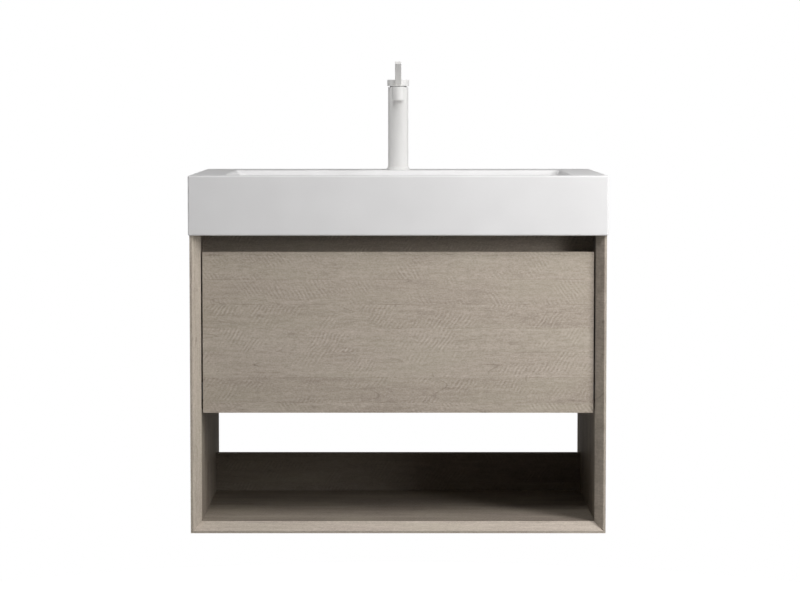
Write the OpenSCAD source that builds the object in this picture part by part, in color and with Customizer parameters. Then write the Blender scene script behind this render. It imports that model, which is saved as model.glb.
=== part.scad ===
// Wall-hung vanity: a bevelled carcass with one drawer over an open niche, a ceramic basin,
// a pop-up waste with its bottle trap and a single-lever mixer tap.
// Origin: centre of the four wall screw holes, on the wall. +X right, -Y to the front, +Z up.

/* [Carcass] */
// Width over the two side panels
cabinet_w = 800; // [760:5:1000]
// Depth from the wall to the front edges
cabinet_d = 455; // [450:5:520]
// Height from the underside to the top edges
cabinet_h = 575; // [565:5:640]
// Thickness of the side panels and the bottom
panel_t = 20; // [18:0.5:22]
// Flat strip left along the outer front edges
nose_w = 4.5; // [2:0.5:8]
// Depth of the bevel behind that strip
bevel_d = 20; // [14:1:24]
// Thickness of the divider and the three rails
board_t = 18; // [16:1:20]
// Clear height of the open niche
niche_h = 215; // [190:5:220]
// Height of the low rail at the back of the niche
low_rail_h = 78; // [60:1:120]
// Height of the hanging rail at the back of the drawer space
hanging_rail_h = 120; // [116:1:130]
// Height of the finger rail behind the grip gap
finger_rail_h = 60; // [52:1:66]
// Distance from the front edges back to the finger rail
finger_setback = 70; // [64:1:90]
// Space between the back rails and the wall
service_void = 59; // [57:1:64]

/* [Drawer] */
// Thickness of the drawer front
front_t = 20; // [16:0.5:22]
// Gap between the drawer front and each side panel
front_gap = 3; // [2:0.5:5]
// Height of the grip gap between the drawer front and the basin
grip_gap = 32.5; // [28:0.5:40]
// How far the drawer front hangs below the divider's underside
front_drop = 4; // [0:0.5:8]
// Depth of the finger bevel on the front's top back edge
grip_bevel = 11; // [6:0.5:13]
// Thickness of the drawer box boards
box_t = 16; // [12:1:16]
// Height of the drawer sides
box_h = 195; // [175:5:205]
// Length of the drawer box behind the front
box_len = 310; // [305:1:325]
// Thickness of the drawer bottom
bottom_t = 12; // [10:1:14]
// Depth of the grooves that hold the drawer bottom
groove_d = 6; // [4:0.5:8]
// Clear width of the recess round the trap
recess_w = 220; // [180:5:260]
// Clearance between the trap and the front of that recess
recess_clear = 34; // [20:1:45]
// Thickness of the recess walls
recess_t = 12; // [10:1:14]
// Height of the recess walls and the two backs
recess_h = 150; // [120:5:165]

/* [Runners] */
// Length of the runner members
rail_len = 300; // [280:5:305]
// Gap between a drawer side and the carcass side
side_gap = 5; // [4.5:0.1:6]
// Sheet thickness of the runner members
sheet_t = 1.2; // [1:0.1:1.5]
// Play between one runner member and the next
rail_play = 0.5; // [0.3:0.05:0.7]
// Height of one runner channel
channel_h = 13; // [12:0.5:14]
// Width of one runner channel
channel_w = 20; // [18:0.5:22]

/* [Basin] */
// Width of the basin
basin_w = 805; // [765:5:1010]
// Depth of the basin
basin_d = 460; // [455:5:530]
// Height of the basin's outer walls
basin_h = 115; // [105:1:140]
// Rounding of the basin's outer edges
basin_edge_r = 3; // [1:0.5:5]
// Thickness of the outer walls and of the bowl
shell_t = 11; // [9:0.5:12]
// Thickness of the deck round the bowl
deck_t = 14; // [12:0.5:16]
// Width of the deck beside the bowl
side_deck = 69.5; // [50:0.5:90]
// Width of the deck in front of the bowl
front_deck = 28; // [22:1:40]
// Width of the tap ledge behind the bowl
back_deck = 88; // [84:1:120]
// Depth of the bowl
bowl_depth = 88; // [75:1:90]
// How far the bowl's side walls lean in
side_lean = 42; // [20:1:60]
// How far the bowl's front and back walls lean in
end_lean = 28; // [15:1:32]
// Corner radius of the bowl at the deck
bowl_top_r = 14; // [8:1:24]
// Radius between the bowl's walls and its floor
bowl_floor_r = 24; // [16:1:28]

/* [Waste and trap] */
// Distance from the wall to the drain
drain_y = 245; // [238:1:255]
// Radius of the drain hole in the bowl
drain_hole_r = 22.5; // [21:0.5:24]
// Radius of the threaded waste body
waste_r = 19; // [18:0.5:20]
// Radius of the waste flange
waste_flange_r = 31; // [28:0.5:33]
// Outer radius of the trap's pipes
pipe_r = 16; // [14:0.5:17]
// Wall of the trap's pipes
pipe_wall = 1.5; // [1:0.1:2]
// Outer radius of the trap cup
cup_r = 36; // [34:0.5:40]
// Height of the outlet pipe above the cabinet's underside
outlet_h = 395; // [380:1:410]
// Depth of the cup below the outlet pipe's axis
cup_drop = 86; // [75:1:95]

/* [Tap] */
// Distance from the wall to the tap's axis
tap_y = 46; // [44:1:52]
// Radius of the tap body
tap_r = 21; // [20.5:0.5:23]
// Height of the tap body above the deck
tap_h = 171.5; // [140:0.5:220]
// Radius of the flared foot
foot_r = 25; // [24:0.5:28]
// Height of the flared foot
foot_h = 7; // [5:0.5:10]
// Width of the spout
spout_w = 25.5; // [24:0.5:28]
// Height of the spout
spout_h = 27.4; // [24:0.2:32]
// Reach of the spout from the tap's axis
spout_reach = 150; // [110:1:170]
// Gap between the tap body and the handle cap
cap_gap = 2.2; // [1.6:0.1:3]
// Height of the handle cap
cap_h = 12.9; // [12:0.1:16]
// Width of the lever
lever_w = 12.9; // [10:0.1:16]
// Thickness of the lever
lever_t = 7.5; // [5:0.1:8]
// Length of the lever
lever_len = 58; // [40:1:80]
// Lean of the lever from upright, towards the front
lever_lean = 40; // [25:1:55]

/* [Fits] */
// Play round dowels, screws and other pieces that sit in a hole
snug = 0.05; // [0.03:0.01:0.08]
// Gap between pieces that slide or turn past each other
running = 0.3; // [0.2:0.05:0.5]

/* [Hidden] */
$fn = 48;

// Colours
oak = "#b1a699";
oak_dark = "#a3988b";
ceramic = "#f1f0ee";
steel = "#b9bcbf";
zinc = "#8f9498";
chrome = "#d5d8da";
white_paint = "#ecebe8";
beech = "#d9bd92";
plastic = "#e4e4e1";
rubber = "#2e2e2e";
brass = "#b79a5b";

// Carcass
inner_w = cabinet_w - 2 * panel_t;
inner_x = inner_w / 2;
divider_z = panel_t + niche_h;
divider_top = divider_z + board_t;
fixing_drop = 64;              // the wall screws' centre below the cabinet's top
fixing_h = cabinet_h - fixing_drop;
back_face = -service_void;     // back face of the back rails
finger_y = -cabinet_d + finger_setback;
past = 1;                      // how far a cutting shape runs past the face it opens

// Drawer
front_y = -cabinet_d + bevel_d;
front_back = front_y + front_t;
front_w = inner_w - 2 * front_gap;
front_z = divider_z - front_drop;
front_top = cabinet_h - grip_gap;
rail_gap = 1;                  // between the fixed channel and the drawer's channel
rail_floor_gap = 2;            // between the runner and the divider
box_z = divider_top + rail_floor_gap + channel_h + rail_gap;
side_out = inner_x - side_gap;
side_in = side_out - box_t;
bottom_z = box_z + channel_h;
bottom_top = bottom_z + bottom_t;
box_back = front_back + box_len;
recess_x = recess_w / 2;
recess_y = -drain_y - cup_r - recess_clear;

// Runners, measured inwards from the carcass side
channel_u = side_gap + box_t + 4;
lip_w = 5;
flange_h = 18;
rail_y = front_back + 3;
middle_short = 4;              // how much shorter the middle member is

// Fittings
cam_r = 7.5;
cam_depth = 12.5;
cam_reach = 24;                // from the board's end to the cam's centre
bolt_r = 3;
bolt_in = 11;                  // depth of the bolts in the side panels
dowel_r = 4;
dowel_in = 12;                 // depth of the dowels in the side panels
dowel_len = 30;
rail_fit_z = [15, 40];         // cam and dowel above a rail's lower edge
shelf_fit_y = [40, 72];        // cam and dowel from a divider edge
mitre_dowel_r = 3;
mitre_dowel_len = 16;
mitre_pitch = 110;
screw_r = 2;
screw_len = 30;
screw_head_r = 4;

// Hangers, heights measured from the wall screws' centre
hanger_t = 14;
hanger_wall = 2;
hanger_y = [-56, -10];
hanger_z = [1, 53];
hanger_pin_r = 5;
hanger_pin_len = 10;
hook_w = 8;
hook_t = 2;
plate_t = 2.5;
plate_w = 50;
plate_z = [-28, 45];
plate_hole_x = 33;             // from the plate's outer edge
plate_pitch = 32;
plate_hole_r = 3.25;
lip_z = [34, 42];              // floor and top of the plate's hooked channel
notch_w = 25;
notch_h = 65;

// Basin and waste
deck_z = cabinet_h + basin_h;
bowl_w = basin_w - 2 * side_deck;
bowl_y = [-basin_d + front_deck, -back_deck];
floor_z = deck_z - bowl_depth;
drain_recess = 4;
seat_z = floor_z - drain_recess;
boss_r = 38;
boss_z = seat_z - 16;
tap_hole_r = 17.5;
top_seal_t = 1.5;
bottom_seal_t = 4;
waste_nut_h = 12;
waste_thread_len = 54;
tail_len = 98;
plug_r = 30;
plug_rim = 1.2;                // straight edge of the plug, below its dome
plug_t = 3.5;                  // rise of the dome
stem_r = 4;
cross_z = seat_z - 36;         // cross that guides the plug's stem
cross_h = 10;

// Trap
socket_len = 28;
socket_floor = 3;
inlet_top = seat_z - tail_len + socket_len - socket_floor;
head_r = 33;
head_top = outlet_h + 36;
head_low = outlet_h - 34;
shoulder_z = head_top - 12;
shoulder_h = 6;
trap_wall = 3;
collar_r = 21;
stub_len = 22;
trap_nut_r = 26;
trap_nut_h = 18;
trap_nut_lid = 4;
trap_seal_t = 3;
spigot_free = 40;              // free length of the outlet pipe before its bead
bead_w = 3;
collar_top = head_top + 8;
nut_grip = trap_nut_h - trap_nut_lid - trap_seal_t;
stub_y = head_r + stub_len;    // end of the outlet stub, from the drain's axis
cup_floor = outlet_h - cup_drop;
cup_grip = 12;                 // how far the cup reaches up round the head
cup_top = head_low + cup_grip;

// Tap
bore_r = 14.5;
bore_depth = 48;
chamber_h = 6;                 // mixing chamber below the cartridge
feed_r = 2.5;
riser_r = 2;
neck_r = 17.5;
neck_h = 1.8;
spigot_len = 5;
gasket_t = 1.2;
inlet_r = 5;
inlet_x = 6.8;
inlet_y = -5;
stud_y = 12.5;
stud_r = 3;
stud_len = 78;
stud_in = 12;
hall_r = tap_r - 4;            // hollow in the body's foot, round the two inlets
hall_top = gasket_t + 18;
inlet_out_r = 6.4;
spigot_r = 8;
water_r = 5;
aerator_r = 11;
aerator_h = 13;
cap_r = tap_r + 1.65;
skirt_t = 1.05;
cap_hollow = 7.5;
cap_z = tap_h + cap_gap;
pivot_z = tap_h - 10;
carrier_r = 11;
spindle_w = 7;
handle_boss_r = 7;
grub_r = 2;

// ---------- helpers ----------

// Heights are measured from the cabinet's underside, and the origin is at the wall screws
module placed() {
    translate([0, 0, -fixing_h]) children();
}

// A left-hand piece, mirrored for the right (side = 1)
module on_side(side) {
    placed()
        if (side < 0) children();
        else mirror([1, 0, 0]) children();
}

// The same shape on both sides
module both_sides() {
    children();
    mirror([1, 0, 0]) children();
}

// Box from its low corner to its high corner
module block(low, high) {
    translate(low) cube(high - low);
}

// Rounded rectangle, centred
module round_rect(w, h, r) {
    square([w - 2 * r, h], center = true);
    square([w, h - 2 * r], center = true);
    for (x = [-1, 1], y = [-1, 1]) translate([x * (w / 2 - r), y * (h / 2 - r)]) circle(r);
}

// Profile drawn in Y and Z, extruded along X from x0 to x1
module along_x(x0, x1) {
    translate([x0, 0, 0]) rotate([90, 0, 90]) linear_extrude(x1 - x0) children();
}

// Profile drawn in X and Z, extruded along Y from y0 to y1
module along_y(y0, y1) {
    translate([0, y1, 0]) rotate([90, 0, 0]) linear_extrude(y1 - y0) children();
}

// Cylinders along an axis, from their low end
module rod_x(r, x0, x1, y, z) {
    translate([x0, y, z]) rotate([0, 90, 0]) cylinder(r = r, h = x1 - x0);
}
module rod_y(r, y0, y1, x, z) {
    translate([x, y1, z]) rotate([90, 0, 0]) cylinder(r = r, h = y1 - y0);
}
module rod_z(r, z0, z1, x, y) {
    translate([x, y, z0]) cylinder(r = r, h = z1 - z0);
}

// Upright tube on the Z axis
module tube(r_out, r_in, z0, z1) {
    translate([0, 0, z0]) difference() {
        cylinder(r = r_out, h = z1 - z0);
        translate([0, 0, -past]) cylinder(r = r_in, h = z1 - z0 + 2 * past);
    }
}

// ---------- fittings ----------

// Middle planes of the rails, and the lower edges they stand on
rail_mids = [finger_y + board_t / 2, back_face - board_t / 2, back_face - board_t / 2];
rail_lows = [cabinet_h - finger_rail_h, cabinet_h - hanging_rail_h, panel_t];
divider_y = [rail_y, back_face];
divider_mid = divider_z + board_t / 2;
shelf_cams_y = [divider_y[0] + shelf_fit_y[0], divider_y[1] - shelf_fit_y[0]];
shelf_dowels_y = [divider_y[0] + shelf_fit_y[1], divider_y[1] - shelf_fit_y[1]];

// Centres of the cam bolts and the dowels on the left side panel, as Y and Z
bolt_points = concat([for (i = [0:2]) [rail_mids[i], rail_lows[i] + rail_fit_z[0]]],
                     [for (y = shelf_cams_y) [y, divider_mid]]);
dowel_points = concat([for (i = [0:2]) [rail_mids[i], rail_lows[i] + rail_fit_z[1]]],
                      [for (y = shelf_dowels_y) [y, divider_mid]]);

// Distances of the mitre dowels from the wall
mitre_ys = [for (y = [-70:-mitre_pitch:-cabinet_d + 40]) y];

// Turned square to the mitre between a side panel and the bottom
module at_mitres() {
    for (y = mitre_ys)
        translate([-cabinet_w / 2 + panel_t / 2, y, panel_t / 2]) rotate([0, 135, 0]) children();
}

module mitre_bores() {
    at_mitres() cylinder(r = mitre_dowel_r, h = mitre_dowel_len + 0.4, center = true);
}

// Holes for the cam bolts and dowels: in the left side panel and in the boards' left ends
module side_fit_bores() {
    for (p = bolt_points) rod_x(bolt_r, -inner_x - bolt_in - 0.5, -inner_x + past, p[0], p[1]);
    for (p = dowel_points) rod_x(dowel_r, -inner_x - dowel_in - 0.5, -inner_x + past, p[0], p[1]);
}
module board_fit_bores() {
    for (p = bolt_points) rod_x(bolt_r + 0.5, -inner_x - past, -inner_x + cam_reach, p[0], p[1]);
    for (p = dowel_points)
        rod_x(dowel_r, -inner_x - past, -inner_x + dowel_len - dowel_in + 0.5, p[0], p[1]);
    for (i = [0:2])
        rod_y(cam_r, rail_mids[i] + board_t / 2 - cam_depth, rail_mids[i] + board_t / 2 + past,
              -inner_x + cam_reach, rail_lows[i] + rail_fit_z[0]);
    for (y = shelf_cams_y)
        rod_z(cam_r, divider_top - cam_depth, divider_top + past, -inner_x + cam_reach, y);
}

module dowels() {
    color(beech) placed() both_sides() {
        for (p = dowel_points)
            rod_x(dowel_r - snug, -inner_x - dowel_in, -inner_x - dowel_in + dowel_len, p[0], p[1]);
        at_mitres() cylinder(r = mitre_dowel_r - snug, h = mitre_dowel_len, center = true);
    }
}

// Cam with its screwdriver slot and the hollow that the bolt's head turns in
module cam_lock() {
    difference() {
        translate([0, 0, -cam_depth]) cylinder(r = cam_r - snug, h = cam_depth);
        translate([0, 0, -board_t / 2]) rotate([0, -90, 0]) cylinder(r = bolt_r + 0.4, h = cam_r + past);
        for (a = [0, 90]) rotate([0, 0, a]) translate([-5, -0.8, -2]) cube([10, 1.6, 2 + past]);
    }
}

module cam_locks() {
    color(zinc) placed() both_sides() {
        for (i = [0:2])
            translate([-inner_x + cam_reach, rail_mids[i] + board_t / 2, rail_lows[i] + rail_fit_z[0]])
                rotate([-90, 0, 0]) cam_lock();
        for (y = shelf_cams_y) translate([-inner_x + cam_reach, y, divider_top]) cam_lock();
    }
}

// Bolt screwed into a side panel, with a neck and a head that the cam pulls on
module cam_bolts() {
    color(steel) placed() both_sides() for (p = bolt_points) {
        rod_x(bolt_r - snug, -inner_x - bolt_in, -inner_x + cam_reach - 8, p[0], p[1]);
        rod_x(bolt_r - 1.2, -inner_x + cam_reach - 8, -inner_x + cam_reach - 5, p[0], p[1]);
        rod_x(bolt_r - snug, -inner_x + cam_reach - 5, -inner_x + cam_reach - 1, p[0], p[1]);
    }
}

// ---------- carcass ----------

// Section of a panel with its bevelled front edge, as distance from its outer face and Y
edge_section = [[0, 0], [0, -cabinet_d], [nose_w, -cabinet_d], [panel_t, front_y], [panel_t, 0]];

// Half space on the panel's side of the mitre
module mitre_cut() {
    along_y(-cabinet_d - past, past)
        polygon([[-cabinet_w / 2 - past, -past], [-cabinet_w / 2 + panel_t + past, panel_t + past],
                 [-cabinet_w / 2 + panel_t + past, -past]]);
}

module side_panel(side) {
    color(oak) on_side(side) difference() {
        translate([-cabinet_w / 2, 0, 0]) linear_extrude(cabinet_h) polygon(edge_section);
        mitre_cut();
        mitre_bores();
        side_fit_bores();
        rail_screw_bores();
        for (y = hanger_pin_ys)
            rod_x(hanger_pin_r, -inner_x - hanger_pin_len - 0.5, -inner_x + past, y, hanger_mid_z);
    }
}

module bottom_panel() {
    color(oak) placed() difference() {
        along_x(-cabinet_w / 2, cabinet_w / 2) polygon([for (p = edge_section) [p[1], p[0]]]);
        both_sides() {
            translate([-cabinet_w / 2, -cabinet_d / 2, 0]) rotate([0, -45, 0])
                translate([-2 * panel_t, -cabinet_d / 2 - past, 0])
                    cube([4 * panel_t, cabinet_d + 2 * past, 2 * panel_t]);
            mitre_bores();
        }
    }
}

module divider_panel() {
    color(oak_dark) placed() difference() {
        block([-inner_x, divider_y[0], divider_z], [inner_x, divider_y[1], divider_top]);
        both_sides() board_fit_bores();
    }
}

module finger_rail() {
    color(oak_dark) placed() difference() {
        block([-inner_x, finger_y, rail_lows[0]], [inner_x, finger_y + board_t, cabinet_h]);
        both_sides() board_fit_bores();
    }
}

module hanging_rail() {
    color(oak_dark) placed() difference() {
        block([-inner_x, back_face - board_t, rail_lows[1]], [inner_x, back_face, cabinet_h]);
        both_sides() {
            board_fit_bores();
            block([-inner_x - past, back_face - board_t - past, cabinet_h - notch_h],
                  [-inner_x + notch_w, back_face + past, cabinet_h + past]);
        }
    }
}

module low_back_rail() {
    color(oak_dark) placed() difference() {
        block([-inner_x, back_face - board_t, panel_t], [inner_x, back_face, panel_t + low_rail_h]);
        both_sides() board_fit_bores();
    }
}

// ---------- hangers ----------

hanger_mid_z = fixing_h + (hanger_z[0] + hanger_z[1]) / 2;
hanger_pin_ys = [hanger_y[0] + 12, hanger_y[1] - 14];
hook_x = -inner_x + (hanger_t - hook_w) / 2;
hook_screw_zs = [hanger_mid_z - 12, hanger_mid_z + 8];
tail_y = hanger_y[0] + 12;

// Steel housings, open to the wall, each with two pins pressed into its side panel
module hangers() {
    color(zinc) placed() both_sides() {
        difference() {
            block([-inner_x, hanger_y[0], fixing_h + hanger_z[0]],
                  [-inner_x + hanger_t, hanger_y[1], fixing_h + hanger_z[1]]);
            block([-inner_x + hanger_wall, hanger_y[0] + hanger_wall, fixing_h + hanger_z[0] + hanger_wall],
                  [-inner_x + hanger_t - hanger_wall, hanger_y[1] + past,
                   fixing_h + hanger_z[1] - hanger_wall]);
            for (z = hook_screw_zs)
                rod_y(bolt_r, hanger_y[0] - past, tail_y, hook_x + hook_w / 2, z);
        }
        for (y = hanger_pin_ys)
            rod_x(hanger_pin_r - snug, -inner_x - hanger_pin_len, -inner_x, y, hanger_mid_z);
    }
}

// Flat hook whose tip drops into the wall plate's channel
module hanger_hooks() {
    tip_y = -plate_t - 0.4;
    arm_z = fixing_h + lip_z[1];
    color(steel) placed() both_sides() along_x(hook_x, hook_x + hook_w)
        polygon([[tail_y, arm_z - 28], [tail_y, arm_z + 8], [tip_y, arm_z + 8], [tip_y, arm_z - 7],
                 [tip_y - hook_t, arm_z - 7], [tip_y - hook_t, arm_z], [tail_y + 14, arm_z],
                 [tail_y + 14, arm_z - 28]]);
}

// Adjusting screws that lift the hook and pull it in
module hanger_screws() {
    color(steel) placed() both_sides() for (z = hook_screw_zs) {
        rod_y(bolt_r - snug, hanger_y[0], tail_y, hook_x + hook_w / 2, z);
        difference() {
            rod_y(bolt_r + 2, hanger_y[0] - 3, hanger_y[0], hook_x + hook_w / 2, z);
            translate([hook_x + hook_w / 2 - 3.5, hanger_y[0] - 3 - past, z - 0.6])
                cube([7, 1.5 + past, 1.2]);
            translate([hook_x + hook_w / 2 - 0.6, hanger_y[0] - 3 - past, z - 3.5])
                cube([1.2, 1.5 + past, 7]);
        }
    }
}

// Steel plates screwed to the wall, each with a hooked channel along its top
module wall_plates() {
    channel_y = -2 * plate_t;
    lip_y = channel_y - plate_t;
    plate_x = -inner_x + 2;
    color(zinc) placed() both_sides() translate([0, 0, fixing_h]) difference() {
        along_x(plate_x, plate_x + plate_w)
            polygon([[0, plate_z[0]], [0, plate_z[1]], [-plate_t, plate_z[1]], [-plate_t, lip_z[0]],
                     [channel_y, lip_z[0]], [channel_y, lip_z[1]], [lip_y, lip_z[1]],
                     [lip_y, lip_z[0] - plate_t], [-plate_t, lip_z[0] - plate_t],
                     [-plate_t, plate_z[0]]]);
        for (z = [-1, 1] * plate_pitch / 2)
            rod_y(plate_hole_r, -plate_t - past, past, plate_x + plate_hole_x, z);
    }
}

// ---------- runners ----------

first_rail_screw = 37;
rail_screw_steps = [0, 96, 224];
rail_screw_ys = [for (step = rail_screw_steps) rail_y + first_rail_screw + step];
rail_screw_v = 9;
rail_screw_depth = 12;

module rail_screw_bores() {
    for (y = rail_screw_ys)
        rod_x(bolt_r, -inner_x - rail_screw_depth - 0.5, -inner_x + past, y, box_z + rail_screw_v);
}

// Profile drawn inwards from the left side and up from the drawer side's edge
module runner_member(side, y0, len) {
    on_side(side) translate([-inner_x, 0, box_z]) along_y(y0, y0 + len) children();
}

// Fixed members: a screwed flange, a web under the drawer side and an upward channel
module cabinet_rails() {
    t = sheet_t;
    u0 = channel_u;
    u1 = channel_u + channel_w;
    low = -rail_gap - channel_h;
    top = -rail_gap;
    color(zinc) both_sides() difference() {
        runner_member(-1, rail_y, rail_len)
            polygon([[0, low], [u1, low], [u1, top], [u1 - lip_w, top], [u1 - lip_w, top - t],
                     [u1 - t, top - t], [u1 - t, low + t], [u0 + t, low + t], [u0 + t, top - t],
                     [u0 + lip_w, top - t], [u0 + lip_w, top], [u0, top], [u0, low + t],
                     [t, low + t], [t, flange_h], [0, flange_h]]);
        placed() for (y = rail_screw_ys)
            rod_x(bolt_r, -inner_x - past, -inner_x + sheet_t + past, y, box_z + rail_screw_v);
    }
}

// One bulb of the middle member and half of its neck, above the plane between the channels
module bulb_profile() {
    play = sheet_t + rail_play;
    difference() {
        union() {
            translate([channel_u + play, play]) square([channel_w - 2 * play, channel_h - 2 * play]);
            translate([channel_u + lip_w + rail_play, -rail_gap / 2])
                square([channel_w - 2 * (lip_w + rail_play), channel_h / 2]);
        }
        translate([channel_u + play + sheet_t, play + sheet_t])
            square([channel_w - 2 * play - 2 * sheet_t, channel_h - 2 * play - 2 * sheet_t]);
    }
}

// Sliding member that rides in both channels
module middle_rail(side) {
    color(steel) runner_member(side, rail_y + 1, rail_len - middle_short) {
        bulb_profile();
        translate([0, -rail_gap]) mirror([0, 1]) bulb_profile();
    }
}

// Member under the drawer bottom: a downward channel
module drawer_rail(side) {
    t = sheet_t;
    u0 = channel_u;
    u1 = channel_u + channel_w;
    h = channel_h;
    color(zinc) runner_member(side, rail_y, rail_len)
        polygon([[u0, 0], [u0 + lip_w, 0], [u0 + lip_w, t], [u0 + t, t], [u0 + t, h - t],
                 [u1 - t, h - t], [u1 - t, t], [u1 - lip_w, t], [u1 - lip_w, 0], [u1, 0],
                 [u1, h], [u0, h]]);
}

module rail_screws() {
    color(steel) placed() both_sides() for (y = rail_screw_ys) {
        rod_x(bolt_r - snug, -inner_x - rail_screw_depth, -inner_x + sheet_t, y, box_z + rail_screw_v);
        rod_x(bolt_r + 2.2, -inner_x + sheet_t, -inner_x + sheet_t + 1.8, y, box_z + rail_screw_v);
    }
}

clip_w = 34;
clip_len = 45;
clip_h = 11;
release_w = 12;
release_len = 22;
release_h = 4;

// Clips that lock the drawer box onto its runners, with a release lever
module locking_clips() {
    clip_x = -inner_x + channel_u + channel_w;
    clip_back = rail_y - 1 + clip_len;
    release_x = clip_x + (clip_w - release_w) / 2;
    release_z = bottom_z - clip_h + 2;
    color("#8a8d90") placed() both_sides() {
        block([clip_x, rail_y - 1, bottom_z - clip_h], [clip_x + clip_w, clip_back, bottom_z]);
        block([release_x, clip_back, release_z],
              [release_x + release_w, clip_back + release_len, release_z + release_h]);
    }
}

// ---------- drawer ----------

back_top = bottom_top + recess_h;
back_x = recess_x + recess_t;
inner_front_z = [bottom_top, box_z + box_h];

// Countersunk screw: its head's face at the origin, its point along +Z
module wood_screw() {
    cylinder(r = screw_r - snug, h = screw_len);
    cylinder(r1 = screw_head_r - snug, r2 = screw_r - snug, h = screw_head_r - screw_r);
}
module wood_screw_bore() {
    cylinder(r = screw_r, h = screw_len + 0.5);
    cylinder(r1 = screw_head_r, r2 = screw_r, h = screw_head_r - screw_r);
    translate([0, 0, -past]) cylinder(r = screw_head_r, h = past);
}

// Places of the drawer's screws on the left half
module at_drawer_screws() {
    end_zs = [bottom_top + 30, bottom_top + recess_h - 30];
    for (z = end_zs) {
        translate([-back_x - 60, front_back + box_t, z]) rotate([90, 0, 0]) children();
        translate([-side_out, front_back + box_t / 2, z]) rotate([0, 90, 0]) children();
        translate([-side_out, box_back - box_t / 2, z]) rotate([0, 90, 0]) children();
    }
    for (y = [recess_y + 40, box_back - 40])
        translate([-recess_x - recess_t / 2, y, bottom_z]) children();
    translate([-recess_x / 2, recess_y - recess_t / 2, bottom_z]) children();
}

module drawer_bores() {
    both_sides() at_drawer_screws() wood_screw_bore();
}

module drawer_screws() {
    color(steel) placed() both_sides() at_drawer_screws() wood_screw();
}

// Front with a bevel for the fingers along its top back edge
module drawer_front() {
    color(oak) placed() difference() {
        along_x(-front_w / 2, front_w / 2)
            polygon([[front_y, front_z], [front_back, front_z], [front_back, front_top - grip_bevel],
                     [front_back - grip_bevel, front_top], [front_y, front_top]]);
        drawer_bores();
    }
}

module drawer_inner_front() {
    color(oak_dark) placed() difference() {
        block([-side_in, front_back, inner_front_z[0]], [side_in, front_back + box_t, inner_front_z[1]]);
        drawer_bores();
    }
}

module drawer_side(side) {
    color(oak_dark) on_side(side) difference() {
        block([-side_out, front_back, box_z], [-side_in, box_back, box_z + box_h]);
        block([-side_in - groove_d, front_back - past, bottom_z], [-side_in + past, box_back + past, bottom_top]);
        drawer_bores();
    }
}

// Bottom, cut out round the trap and open to the back
module drawer_bottom() {
    color(oak_dark) placed() difference() {
        block([-side_in - groove_d, front_back, bottom_z], [side_in + groove_d, box_back, bottom_top]);
        block([-recess_x, recess_y, bottom_z - past], [recess_x, box_back + past, bottom_top + past]);
        drawer_bores();
    }
}

module drawer_backs() {
    color(oak_dark) placed() both_sides() difference() {
        block([-side_in, box_back - box_t, bottom_top], [-back_x, box_back, back_top]);
        drawer_bores();
    }
}

module recess_side_walls() {
    color(oak_dark) placed() both_sides() difference() {
        block([-back_x, recess_y, bottom_top], [-recess_x, box_back, back_top]);
        drawer_bores();
    }
}

module recess_wall_front() {
    color(oak_dark) placed() difference() {
        block([-back_x, recess_y - recess_t, bottom_top], [back_x, recess_y, back_top]);
        drawer_bores();
    }
}

// ---------- basin ----------

// Block with every outer edge rounded
module basin_block() {
    intersection() {
        translate([0, -basin_d / 2, cabinet_h]) linear_extrude(basin_h)
            round_rect(basin_w, basin_d, basin_edge_r);
        along_x(-basin_w / 2, basin_w / 2) translate([-basin_d / 2, cabinet_h + basin_h / 2])
            round_rect(basin_d, basin_h, basin_edge_r);
        along_y(-basin_d, 0) translate([0, cabinet_h + basin_h / 2])
            round_rect(basin_w, basin_h, basin_edge_r);
    }
}

// Bowl with leaning walls, grown outwards by grow for its outer skin
module bowl_form(grow) {
    mid_y = (bowl_y[0] + bowl_y[1]) / 2;
    half_x = bowl_w / 2;
    half_y = (bowl_y[1] - bowl_y[0]) / 2;
    low_x = half_x - side_lean - bowl_floor_r;
    low_y = half_y - end_lean - bowl_floor_r;
    translate([0, mid_y, 0]) hull() for (x = [-1, 1], y = [-1, 1]) {
        translate([x * (half_x - bowl_top_r), y * (half_y - bowl_top_r), deck_z])
            cylinder(r = bowl_top_r + grow, h = past, $fn = 32);
        translate([x * low_x, y * low_y, floor_z + bowl_floor_r]) sphere(bowl_floor_r + grow, $fn = 32);
        translate([x * low_x, y * low_y, floor_z - grow]) cylinder(r = 2, h = past, $fn = 32);
    }
}

under_deck = deck_z - deck_t;
ledge_y = bowl_y[1] - 6;       // the deck's sides meet the ledge just in front of the bowl's back edge

// The basin is one piece of ceramic. Its bowl, deck, ledge and outer walls are drawn apart and
// meet face to face, so that the hollows between them stay open.
module basin_bowl() {
    color(ceramic) placed() difference() {
        intersection() {
            union() {
                bowl_form(shell_t);
                rod_z(boss_r, boss_z, floor_z, 0, -drain_y);
            }
            block([-basin_w / 2, -basin_d, boss_z], [basin_w / 2, 0, under_deck]);
        }
        bowl_form(0);
        translate([0, -drain_y, seat_z])
            cylinder(r1 = waste_flange_r + 1, r2 = waste_flange_r + 3, h = drain_recess);
        rod_z(drain_hole_r, boss_z - past, seat_z + past, 0, -drain_y);
    }
}

// Deck in front of the bowl and beside it
module basin_deck() {
    color(ceramic) placed() difference() {
        intersection() {
            basin_block();
            block([-basin_w / 2, -basin_d, under_deck], [basin_w / 2, ledge_y, deck_z]);
        }
        bowl_form(0);
    }
}

// Ledge behind the bowl, with the tap hole
module basin_ledge() {
    color(ceramic) placed() difference() {
        intersection() {
            basin_block();
            block([-basin_w / 2, ledge_y, under_deck], [basin_w / 2, 0, deck_z]);
        }
        bowl_form(0);
        rod_z(tap_hole_r, under_deck - past, deck_z + past, 0, -tap_y);
    }
}

// Outer walls at the sides, over the whole depth
module basin_side_walls() {
    color(ceramic) placed() intersection() {
        basin_block();
        both_sides()
            block([-basin_w / 2, -basin_d, cabinet_h], [-basin_w / 2 + shell_t, 0, under_deck]);
    }
}

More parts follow.
